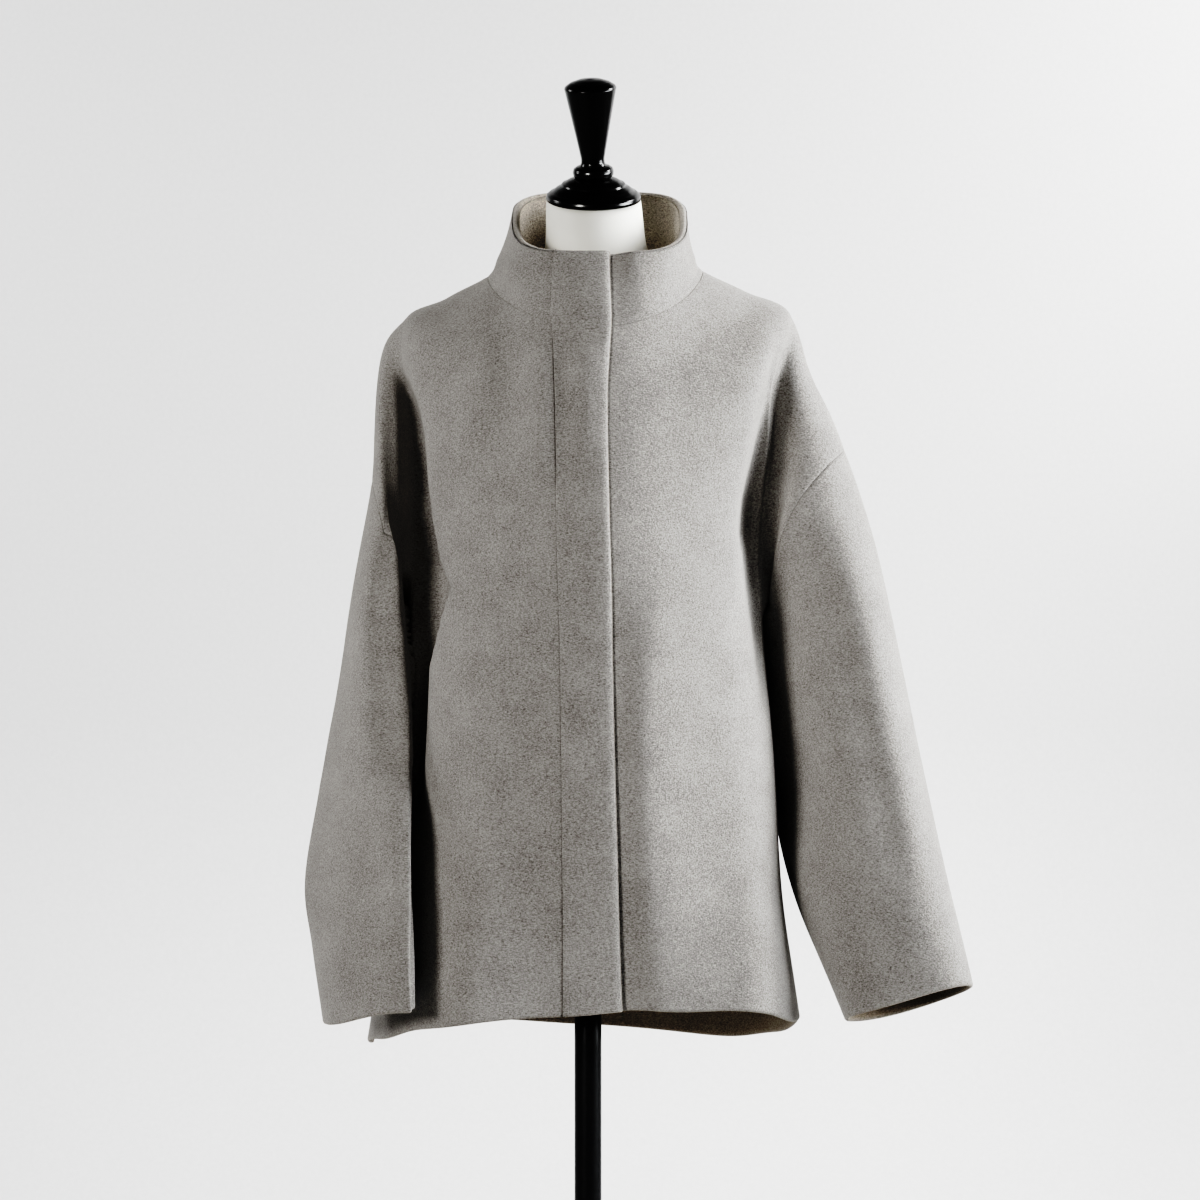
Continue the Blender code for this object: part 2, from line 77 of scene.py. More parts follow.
# Rings of the coat: heights, places and half sizes, squareness, and the band's two edges
RING_COLUMNS = (
    "z_front z_left z_back z_right back_tilt x_mid y_left y_right half_width front back "
    "front_square back_square rise seam_x edge_x"
).split()
COAT_RINGS = {
    "hem": (672, 662, 629, 632, -26, -5, 6, 18, 217, 158, 152, 2.6, 2.3, 1.6, -24, 34),
    "low": (787, 778, 756, 758, -12, -4, 2, 34, 198, 158, 148, 2.6, 2.3, 1.8, -24, 30),
    "mid": (930, 924, 912, 920, 0, 0.5, -14, 40, 184.5, 156, 140, 2.6, 2.4, 2, -25, 26),
    "under": (1068, 1058, 1060, 1058, 0, -2, 2, 36, 176, 150, 130, 2.6, 2.6, 2, -27, 23),
    "chest": (1150, 1159, 1160, 1159, 0, 1, 16, 28, 172, 145, 124, 2.7, 2.6, 2, -29, 21),
    "upper": (1222, 1273, 1262, 1273, 0, 4, 12, 12, 187, 132, 112, 2.8, 2.5, 2, -30, 20),
    "shoulder": (1272, 1354, 1338, 1355, 0, 11, 0, 0, 194, 121, 97, 2.6, 2.4, 2, -31, 20),
    "yoke": (1306, 1380, 1374, 1377, 0, 8, 0, 0, 148, 116, 82, 2.4, 2.3, 1.8, -31, 21),
    "neck": (1337, 1400, 1403, 1395, 0, 7, 0, 0, 106, 110, 68, 2.3, 2.3, 1.5, -31, 22),
    "collar_low": (1362, 1417, 1430, 1415, 0, 8, 0, 0, 97, 106, 67, 2.4, 2.6, 1.3, -31, 22),
    "collar_high": (1389, 1437, 1458, 1437, 0, 10, 0, 0, 91, 100, 67, 2.8, 3, 1.1, -32, 22),
    "rim": (1415, 1458, 1486, 1461, 0, 12, 0, 0, 87, 95, 67, 3.2, 3.4, 1, -32, 22),
}
RING_STEPS = tuple(FINE * n for n in (4, 4, 4, 3, 4, 3, 2, 2, 2, 2, 2))
ARM_ROWS = ("under", "shoulder")
NECK_ROW = "neck"

# Lines that run up the coat, and the grid's steps between them
LINES = "back_mid arm_rb side_r arm_rf seam edge arm_lf side_l arm_lb".split()
LINE_STEPS = tuple(FINE * n for n in (9, 2, 2, 9, 3, 8, 2, 2, 9))
TIGHT_LINES = ("seam", "edge")

# Sections of the sleeves: outer and inner ends, half depths, turns in degrees, bow and squareness
SLEEVE_COLUMNS = "outer_x outer_y outer_z inner_x inner_y inner_z front back lean pitch bow square".split()
LEFT_SLEEVE = {
    "drop": (232, 4, 1314, 187, 30, 1058, 46, 54, 0, 0, 12, 2.0),
    "armhole": (258, 6, 1228, 186, 50, 1042, 72, 60, 0, 0, 32, 2.1),
    "upper": (288, 6, 1140, 174, 90, 1016, 90, 40, 6, 2, 12, 2.2),
    "bicep": (312, 0, 1020, 183, 80, 966, 96, 40, 10, 4, 0, 2.4),
    "elbow": (335, -20, 897, 190, 76, 868, 94, 40, 12, 8, 0, 2.4),
    "forearm": (355, -48, 796, 208, -6, 770, 72, 48, 12, 12, 0, 2.4),
    "cuff": (376, -80, 697, 249, -84, 668, 44, 42, 6, 14, 0, 2.4),
}
RIGHT_SLEEVE = {
    "drop": (-212, 4, 1322, -184, 40, 1060, 38, 46, 0, 0, 2, 2.0),
    "armhole": (-216, 6, 1196, -184, 52, 1044, 72, 56, 2, 0, 2, 2.0),
    "upper": (-232, 0, 1112, -177, 88, 1010, 88, 50, 2, 0, 0, 2.0),
    "bicep": (-249, -6, 1000, -190, 38, 960, 92, 74, 12, 2, 0, 2.0),
    "overarm": (-266, -32, 890, -182, -84, 862, 84, 86, 23, 4, 0, 2.1),
    "elbow": (-279, -64, 798, -171, -132, 790, 64, 74, 20, 4, 0, 2.1),
    "forearm": (-270, -98, 736, -167, -152, 730, 54, 56, 11, 2, 0, 2.1),
    "cuff": (-258, -120, 661, -166, -158, 675, 48, 46, 6, 0, 0, 2.1),
}
SHOULDER_STEPS = 3 * FINE
SLEEVE_STEPS = 2 * FINE
ARMHOLE_ROW = "armhole"

# Rings of the dress form, in the same columns as the coat's
FORM_RINGS = {
    "board": (735, 735, 735, 735, 0, 0, 0, 0, 158, 112, 112, 2.2, 2.2, 2, 0, 0),
    "hip": (778, 778, 778, 778, 0, 0, 0, 0, 166, 118, 120, 2.2, 2.2, 2, 0, 0),
    "high_hip": (870, 870, 870, 870, 0, 0, 0, 0, 150, 112, 104, 2.2, 2.2, 2, 0, 0),
    "waist": (985, 985, 985, 985, 0, 2, 0, 0, 120, 95, 82, 2.2, 2.2, 2, 0, 0),
    "ribs": (1072, 1075, 1075, 1075, 0, 4, 0, 0, 130, 110, 88, 2.3, 2.2, 2, 0, 0),
    "bust": (1146, 1155, 1155, 1155, 0, 4, 0, 0, 142, 124, 94, 2.4, 2.3, 2, 0, 0),
    "chest": (1215, 1262, 1250, 1262, 0, 6, 0, 0, 162, 110, 92, 2.4, 2.3, 2, 0, 0),
    "shoulder": (1262, 1344, 1326, 1345, 0, 9, 0, 0, 176, 102, 80, 2.4, 2.3, 2, 0, 0),
    "yoke": (1296, 1369, 1362, 1366, 0, 9, 0, 0, 138, 98, 66, 2.3, 2.2, 1.8, 0, 0),
    "neck_base": (1330, 1389, 1393, 1386, 0, 8, 0, 0, 76, 84, 50, 2.1, 2.1, 1.5, 0, 0),
    "neck": (1388, 1419, 1437, 1417, 0, 8, 0, 0, 53, 66, 38, 2.0, 2.0, 1.2, 0, 0),
    "neck_top": (1457.31, 1473.82, 1482.99, 1473.82, 0, 5.5, 0, 0, 47, 54, 30, 2.0, 2.0, 1, 0, 0),
}
FORM_STEPS = (3, 6, 9, 6, 6, 6, 6, 4, 4, 8, 10)
FORM_COLUMNS = 128

# Soft folds: the face they lie on, their two ends and bow in the front view, width and height
FOLD_COLUMNS = "face x_top z_top x_low z_low bow width height".split()
FOLDS = (
    ("front", -98, 1340, -94, 1270, 3, 11, 4.0),
    ("front", -80, 1330, -76, 1214, 0, 12, -2.6),
    ("front", -45, 1338, -44, 1182, -2, 14, 6.0),
    ("front", -144, 1326, -129, 1232, 3, 12, -2.4),
    ("front", -2, 1326, -3, 1196, 0, 10, 3.2),
    ("front", -25, 1334, -25, 1168, 0, 8, -3.6),
    ("front", -27, 1324, 22, 1324, 0, 5, -1.4),
    ("front", -80, 1290, -66, 1172, 0, 26, 2.0),
    ("front", -74, 1416, -42, 1352, 3, 8, 2.6),
    ("front", -90, 1400, -60, 1340, 3, 8, -1.4),
    ("front", 120, 1180, 136, 700, 4, 34, -3.0),
    ("front", 58, 1150, 62, 690, 0, 22, 2.4),
    ("front", 15, 1450, 22, 690, 0, 48, 13.0),
    ("front", 12, 1450, 14, 1010, 0, 75, 18.0),
    ("front", -105, 1060, -110, 720, 5, 28, 2.4),
    ("front", -60, 1040, -64, 690, 0, 20, -1.8),
    ("left_sleeve", 209, 1172, 312, 759, -8, 14, -5.0),
    ("left_sleeve", 199, 1054, 258, 778, -6, 17, 3.2),
    ("left_sleeve", 262, 1113, 337, 778, -6, 18, 2.4),
    ("right_sleeve", -236, 975, -240, 798, 4, 14, 2.2),
    ("right_sleeve", -202, 956, -206, 729, 2, 12, -2.4),
    ("back", -92, 1260, -120, 690, 10, 26, -4.0),
    ("back", -40, 1300, -52, 690, 0, 30, 3.0),
    ("back", 84, 1250, 108, 680, -8, 28, -4.0),
    ("back", 36, 1290, 40, 700, 0, 28, 2.4),
    ("left_sleeve_back", 262, 1120, 318, 790, 6, 20, -4.0),
    ("left_sleeve_back", 230, 1060, 272, 800, 4, 18, 2.6),
    ("right_sleeve_back", -226, 1060, -240, 800, -6, 20, -3.6),
    ("right_sleeve_back", -212, 980, -216, 760, -4, 14, 2.0),
)

# Hollows before the armholes, from the shoulder down: the body's edge, the sleeve's edge, how far back
# the floor lies, how much of it shows and how far the body's edge rolls under
HOLLOW_COLUMNS = "z body_x sleeve_x floor_y share under".split()
HOLLOWS = {
    "right": {
        "shoulder": (1335, -186, -194, -40, 0.0, 2),
        "top": (1303, -183, -192, -14, 0.5, 2),
        "high": (1288, -179, -189, 4, 0.85, 3),
        "yoke": (1273, -174, -187, 14, 1.0, 4),
        "chest": (1253, -169, -185, 20, 1.0, 6),
        "bust": (1233, -166, -184, 22, 1.0, 7),
        "arm": (1193, -163.5, -182, 30, 1.0, 9),
        "low": (1153, -159, -181, 28, 1.0, 11),
        "drop": (1113, -151, -181, 18, 1.0, 11),
        "underarm": (1087, -140, -179, 4, 1.0, 8),
        "side": (1061, -149, -181, 0, 1.0, 12),
        "waist": (1010, -161.5, -176, -10, 1.0, 12),
        "hip": (920, -164.5, -173, -24, 0.8, 7),
        "end": (850, -163, -170, -40, 0.0, 0),
    },
    "left": {
        "shoulder": (1345, 190, 202, -60, 0.0, 0),
        "top": (1310, 181, 198, -44, 0.6, 0),
        "high": (1290, 176, 196, -30, 0.9, 0),
        "chest": (1240, 166, 192, -27, 1.0, 0),
        "bust": (1210, 160, 188, -26, 1.0, 0),
        "arm": (1173, 152, 182, -27, 1.0, 0),
        "low": (1140, 149.5, 180, -27, 1.0, 0),
        "underarm": (1090, 156, 178, -24, 1.0, 0),
        "side": (1040, 163, 177, -20, 0.8, 0),
        "end": (960, 172, 180, -20, 0.0, 0),
    },
}
# Softness of the hollow's two edges and of its floor's, width of the roll and the depth that rolls fully
HOLLOW_EDGES = {"right": (3.0, 4.0), "left": (3.0, 8.0)}
FLOOR_ROUND = 6.0
ROLL_WIDTH = 12.0
ROLL_DEPTH = 20.0
# Heights between which the right sleeve leaves the hollow
SLEEVE_LEAVES = (1040, 1100)

# Small shifts of the hanging cloth: place in the front view, reach across and up, shift across, back
# and up, and the part that moves
SHIFT_COLUMNS = "x z wide high across back up part".split()
SHIFTS = (
    (-170, 1368, 34, 26, 0, 0, -5, "all"),
    (224, 1301, 26, 32, -10, 0, 0, "all"),
    (-185, 645, 60, 40, 0, 0, -6, "all"),
    (-192, 636, 12, 26, 0, 0, -6, "body"),
    (206, 660, 13, 34, 0, 0, -7, "body"),
    (-204, 634, 8, 26, 0, 0, -3, "body"),
    (160, 636, 34, 30, 0, 0, -4, "rear"),
    (156, 672, 46, 36, 0, 0, 8, "front"),
    (46, 672, 26, 36, 0, 0, 4, "front"),
    (60, 640, 60, 30, 0, 0, 4, "all"),
    (280, 668, 60, 40, 0, 0, -7, "all"),
    (300, 690, 90, 80, 6, 18, -4, "sleeve"),
    (-180, 664, 36, 34, 0, 0, 10, "sleeve"),
    (-212, 660, 30, 26, 0, 0, 6, "front"),
    (-225, 670, 60, 60, 0, 11, 0, "all"),
    (-130, 670, 34, 70, 0, -20, 0, "front"),
    (178, 740, 26, 110, 0, -18, 0, "front"),
    (181, 1175, 9, 34, 0, -8, 0, "front"),
    (-188, 1190, 7, 45, 0, -11, 0, "front"),
    (197, 1262, 14, 44, -7, 0, 0, "front"),
)

# Inner front edge of the pressed right sleeve: height and place across, then its squareness, how far
# the cloth tucks in behind it, how much the front leans out to it and how softly it begins
PRESSED_EDGE = ((650, -165), (713, -169), (980, -169), (1076, -176), (1140, -181))
PRESSED_SQUARE = 11.0
PRESSED_TUCK = 3
PRESSED_LEAN = 0.22
PRESSED_SOFT = 3.0

# Folded hems inside the hem and cuffs: depth, added thickness and share of the depth that slopes
HEM_DEPTH = 26.0
HEM_FOLD = 2.6
HEM_SLOPE = 0.4

# Sleeves that rest on the body: space left, lowest point looked at, heights between which they come to
# rest, widest gap that closes and the length over which it does, reach to the body's points
REST_GAP = {"right": 1.2, "left": 0.3}
REST_LOWEST = 700
REST_HEIGHTS = (880, 920)
REST_WIDEST = 14
REST_SLOPE = 8
REST_REACH = {"nearest": 8, "outermost": 7}
REST_BLOCK = 2048
FACING = 0.4
OUTWARD = 0.3
NO_GAP = 99.0

# Rolled edge of the band: how far in it begins and how far it falls
BAND_ROLL = (7.5, 4.2)

# Inside of the collar: depth, place and width of the facing's line, depth and reach of the rolled rim
FACING_LINE = (0.5, 9.0, 1.8)
RIM_ROLL = (3.0, 6.0)

# The left front beside the band: height, added depth under the band and how far from it the cloth
# rises again
UNDERLAP = ((660, 3.0, 42), (780, 2.4, 34), (950, 1.0, 30), (1050, 0.2, 44), (1150, 0, 220), (1300, 0, 220),
            (1345, 0, 34), (1420, 0.3, 26))

# Print's tone curve: light as a share of twice white, and the tone it prints
TONE = ((0.013, 0.003), (0.03, 0.010), (0.05, 0.042), (0.085, 0.14), (0.1115, 0.217), (0.188, 0.39),
        (0.2665, 0.54), (0.375, 0.655), (0.5, 0.745), (0.7, 0.85), (1.0, 0.94))

# Turned profiles: radius and height above the seat
CAP_PROFILE = (
    (0, 0.5), (44.5, 0.5), (46.8, 1.8), (47.4, 4), (46.6, 7), (43.5, 9.6), (41, 10.6), (37, 14),
    (32.5, 16.4), (31.4, 18.6), (28.6, 19.6), (25, 22), (20, 24), (0, 24),
)
FINIAL_PROFILE = (
    (0, 0), (18.2, 0), (20, 2.3), (20.4, 5.9), (19.4, 8.9), (16.5, 10.9), (13, 11.9), (11.7, 14.9),
    (11.7, 18.9), (13.4, 27.9), (18.4, 52.9), (25.3, 86.9), (25.9, 89.5), (25, 91.5), (20, 94.9),
    (12, 97.7), (0, 99.3),
)
FOOT_PROFILE = (
    (0, 0), (174, 0), (178, 3), (178, 9), (174, 13), (60, 20), (30, 26), (23, 34), (21, 46), (21, 76),
    (19, 78), (0, 78),
)
# Where the turned pieces, pole and form meet
CAP_SEAT = (5.5, -12.5, 1470.0)
CAP_TILT = math.radians(17.0)
FINIAL_FOOT = 24.8
FINIAL_LEAN = math.radians(-2.0)
POLE_RADIUS = 13.5
HUB_TOP = 78.0
FORM_BOTTOM = 735.0

# Studio in metres. The backdrop's paper: half its width, its near end, run of floor, radius of its bend,
# rise of its wall, and the shares of its length that are floor and bend
PAPER_HALF = 6
PAPER_NEAR = -6
PAPER_FLOOR = 6.8
PAPER_BEND = 0.9
PAPER_RISE = 14
FLOOR_SHARE = 0.45
BEND_SHARE = 0.18
PAPER_STEPS = (60, 20)

# Lamps: place, aim, size, spread in degrees, the setting for their power and the share of it, and tint
LAMPS = (
    ("key_light", (3.0, -0.30, 1.40), (0.05, 0, 1.10), (2.0, 1.4), 56, "key", 1, (0.965, 0.985, 1)),
    ("fill_light", (-2.38, -3.80, 1.70), (0, 0, 1.05), (1.0, 1.0), 44, "fill", 1, (1, 0.985, 0.965)),
    ("wash_left", (-2.6, 0.6, 2.6), (-0.5, 1.7, 1.3), (1.0, 1.6), 96, "wash", 1, (1, 1, 1)),
    ("wash_right", (2.6, 0.6, 2.9), (0.5, 1.7, 1.4), (1.0, 1.6), 96, "wash", 3, (1, 1, 1)),
)
WORLD_LIGHT = 0.03
CAMERA_PLACE = (0.012, -4.2, 1.133)
CAMERA_AIM = (0.012, 0, 1.073)
LENS = 126.0
SENSOR = 36.0


class BlousonCloth(bpy.types.PropertyGroup):
    """Sizes and colours of the wool."""

    wall: bpy.props.FloatProperty(
        name="Cloth", description="Thickness of the wool", default=0.003, unit="LENGTH")
    collar_wall: bpy.props.FloatProperty(
        name="Collar", description="Thickness of the doubled collar", default=0.005, unit="LENGTH")
    band_wall: bpy.props.FloatProperty(
        name="Band", description="Thickness of the folded front band", default=0.006, unit="LENGTH")
    band_proud: bpy.props.FloatProperty(
        name="Band rise", description="Height of the band above the front", default=0.0008, unit="LENGTH")
    underlap: bpy.props.FloatProperty(
        name="Underlap", description="Depth of the left front under the band", default=0.0057, unit="LENGTH")
    light: bpy.props.FloatVectorProperty(
        name="Light fibres", description="Colour of the pale fibres", subtype="COLOR", size=3,
        default=(0.605, 0.588, 0.566))
    dark: bpy.props.FloatVectorProperty(
        name="Dark fibres", description="Colour of the dark fibres", subtype="COLOR", size=3,
        default=(0.112, 0.103, 0.095))
    # Painted shade: this tint multiplies the cloth's inner side darker and browner, standing in for the shade
    # inside the hems, cuffs and collar
    inside: bpy.props.FloatVectorProperty(
        name="Inside", description="Tint of the cloth's inner side", subtype="COLOR", size=3,
        default=(0.90, 0.80, 0.67))
    # Painted light: a tint above one that brightens the collar's inner side in place of light reaching into
    # it
    collar_inside_painted_light: bpy.props.FloatVectorProperty(
        name="Collar inside", description="Tint of the collar's paler inner side", subtype="COLOR", size=3,
        default=(1.5, 1.42, 1.3))


class BlousonStand(bpy.types.PropertyGroup):
    """Colours of the dress form and its stand."""

    cover: bpy.props.FloatVectorProperty(
        name="Cover", description="Colour of the form's cloth", subtype="COLOR", size=3,
        default=(0.93, 0.92, 0.865))
    lacquer: bpy.props.FloatVectorProperty(
        name="Lacquer", description="Colour of the turned wood", subtype="COLOR", size=3,
        default=(0.0012, 0.0011, 0.0011))
    paint: bpy.props.FloatVectorProperty(
        name="Paint", description="Colour of the pole and foot", subtype="COLOR", size=3,
        default=(0.012, 0.012, 0.013))


class BlousonStage(bpy.types.PropertyGroup):
    """Studio round the object."""

    floor: bpy.props.FloatVectorProperty(
        name="Floor", description="Colour of the floor and backdrop", subtype="COLOR", size=3,
        default=(0.68, 0.68, 0.68))
    key: bpy.props.FloatProperty(
        name="Key light", description="Power of the key light", default=24.0, subtype="POWER")
    fill: bpy.props.FloatProperty(
        name="Fill light", description="Power of the fill light", default=7.8, subtype="POWER")
    wash: bpy.props.FloatProperty(
        name="Backdrop light", description="Power of the left light on the backdrop", default=24.0,
        subtype="POWER")


def table(columns, rows):
    """One array of values for each named column."""
    values = np.array(list(rows.values()), float)
    return {name: values[:, k] for k, name in enumerate(columns)}


def spline(values, at):
    """Smooth curve through the values at whole numbers, taken at the fractional places `at`."""
    values = np.asarray(values, float)
    ends = np.concatenate([2 * values[:1] - values[1:2], values, 2 * values[-1:] - values[-2:-1]])
    k = np.clip(np.floor(at).astype(int), 0, len(values) - 2)
    f = np.asarray(at, float) - k
    f = f.reshape(f.shape + (1,) * (values.ndim - 1))
    a, b, c, d = ends[k], ends[k + 1], ends[k + 2], ends[k + 3]
    return b + 0.5 * f * (c - a + f * (2 * a - 5 * b + 4 * c - d + f * (3 * (b - c) + d - a)))


def closed_up(t, at_start, at_end):
    """Even steps from 0 to 1 less a sine that draws them together at one or both ends."""
    a = CLOSE_UP / (2 * math.pi)
    if at_start and at_end:
        return t - a * np.sin(2 * math.pi * t)
    if at_start:
        return t - 2 * a * np.sin(math.pi * t)
    if at_end:
        return t + 2 * a * np.sin(math.pi * t)
    return t


def places(steps, tight=()):
    """Fractional row numbers: each interval in its number of steps, closer beside the tight rows."""
    parts = [k + closed_up(np.arange(n) / n, k in tight, k + 1 in tight) for k, n in enumerate(steps)]
    return np.concatenate(parts + [[len(steps)]])


def dense_ring(r):
    """Superellipse ring from the middle of the back round by the right side, with its bend-weighted run."""
    a = np.linspace(-math.pi, math.pi, RING_POINTS)
    c, s = np.cos(a), np.sin(a)
    power = 2 / np.where(c > 0, r["front_square"], r["back_square"])
    x = r["x_mid"] + r["half_width"] * np.sign(s) * np.abs(s) ** power
    y_side = r["y_right"] + (r["y_left"] - r["y_right"]) * (1 + s) / 2
    depth = np.where(c > 0, r["front"] + y_side, r["back"] - y_side)
    share = np.abs(c) ** power
    y = y_side - depth * np.sign(c) * share
    side = r["z_right"] + (r["z_left"] - r["z_right"]) * (1 + s) / 2
    z = side + (np.where(c > 0, r["z_front"], r["z_back"]) - side) * share ** r["rise"]
    z = z + np.where(c > 0, 0, r["back_tilt"]) * s * share
    p = np.stack([x, y, z], 1)
    step = np.diff(p, axis=0)
    heading = np.unwrap(np.arctan2(step[:, 1], step[:, 0]))
    bend = np.abs(np.diff(heading, prepend=heading[:1]))
    run = np.concatenate([[0], np.cumsum(np.linalg.norm(step, axis=1) + BEND_WEIGHT * bend)])
    return p, run


def ring_row(r, at):
    """One row of the coat's grid: the ring's points at its long lines and at the places between."""
    p, run = dense_ring(r)
    quarter = (len(p) - 1) // 4
    side_r, middle, side_l = run[quarter], run[2 * quarter], run[3 * quarter]
    margin = quarter // 6
    front = slice(quarter + margin, 3 * quarter - margin)
    lines = [
        0,
        side_r * (1 - ARM_BACK_SHARE),
        side_r,
        side_r + (middle - side_r) * ARM_FRONT_SHARE,
        np.interp(r["seam_x"], p[front, 0], run[front]),
        np.interp(r["edge_x"], p[front, 0], run[front]),
        side_l - (side_l - middle) * ARM_FRONT_SHARE,
        side_l,
        side_l + (run[-1] - side_l) * ARM_BACK_SHARE,
        run[-1],
    ]
    at = np.interp(at, np.arange(len(lines)), lines)
    return np.stack([np.interp(at, run, p[:, k]) for k in range(3)], 1)


def ring_grid(rows, at_rows, at_lines):
    """Rows of rings at the fractional places between the table's rings."""
    columns = table(RING_COLUMNS, rows)
    values = {name: spline(column, at_rows) for name, column in columns.items()}
    return np.stack([ring_row({n: v[k] for n, v in values.items()}, at_lines) for k in range(len(at_rows))])


def half_section(centre, long_half, reach, bow, square, count):
    """Points at even steps from the outer to the inner end of half a sleeve section."""
    t = np.linspace(0, math.pi, SECTION_POINTS)[:, None]
    c = np.sign(np.cos(t)) * np.abs(np.cos(t)) ** (2 / square)
    s = np.sin(t) ** (2 / square)
    p = centre + c * long_half + s * reach + s * s * bow
    run = np.concatenate([[0], np.cumsum(np.linalg.norm(np.diff(p, axis=0), axis=1))])
    at = np.linspace(0, run[-1], count + 1)
    return np.stack([np.interp(at, run, p[:, k]) for k in range(3)], 1)


def sleeve_section(r, half_count):
    """Closed superellipse section from the outer end by the front to the inner end and round the back."""
    outer = np.array([r["outer_x"], r["outer_y"], r["outer_z"]])
    inner = np.array([r["inner_x"], r["inner_y"], r["inner_z"]])
    inward = -np.sign(r["outer_x"])
    lean, pitch = math.radians(r["lean"]), math.radians(r["pitch"])
    forward = np.array([inward * math.sin(lean), -math.cos(lean) * math.cos(pitch), math.sin(pitch)])
    backward = np.array([0, math.cos(pitch), -math.sin(pitch)])
    across = (outer - inner) / np.linalg.norm(outer - inner)
    up = np.array([inward * across[2], 0, -inward * across[0]])
    middle, long_half = (outer + inner) / 2, (outer - inner) / 2
    front = half_section(middle, long_half, r["front"] * forward, r["bow"] * up, r["square"], half_count)
    back = half_section(middle, long_half, r["back"] * backward, r["bow"] * up, r["square"], half_count)
    return np.concatenate([front[:-1], back[:0:-1]])


def hermite(a, leave, b, arrive, f):
    """Cubic from a to b with the given leaving and arriving directions."""
    g = f * f * (3 - 2 * f)
    return a * (1 - g) + b * g + leave * f * (1 - f) ** 2 - arrive * f * f * (1 - f)


def sleeve_grid(rows, root, root_heading, at, first_count):
    """Sections carried from the root loop through the table to the cuff, leaving along the coat."""
    columns = table(SLEEVE_COLUMNS, rows)
    half = len(root) // 2
    made = [sleeve_section({n: v[k] for n, v in columns.items()}, half) for k in range(len(rows))]
    rings = np.stack([root] + made)
    leave = root_heading * np.linalg.norm(rings[1] - rings[0], axis=1, keepdims=True) * ROOT_PULL
    arrive = (rings[2] - rings[0]) / 2
    first = np.stack([hermite(rings[0], leave, rings[1], arrive, f) for f in at[:first_count]])
    return np.concatenate([first, spline(rings, at[first_count:])])


def near_line(points, line):
    """Distance from each point to the nearest of the line's points, worked out in blocks."""
    away = np.empty(len(points))
    for k in range(0, len(points), BLOCK):
        block = points[k:k + BLOCK, None, :] - line[None]
        away[k:k + BLOCK] = np.sqrt((block * block).sum(axis=2).min(axis=1))
    return away


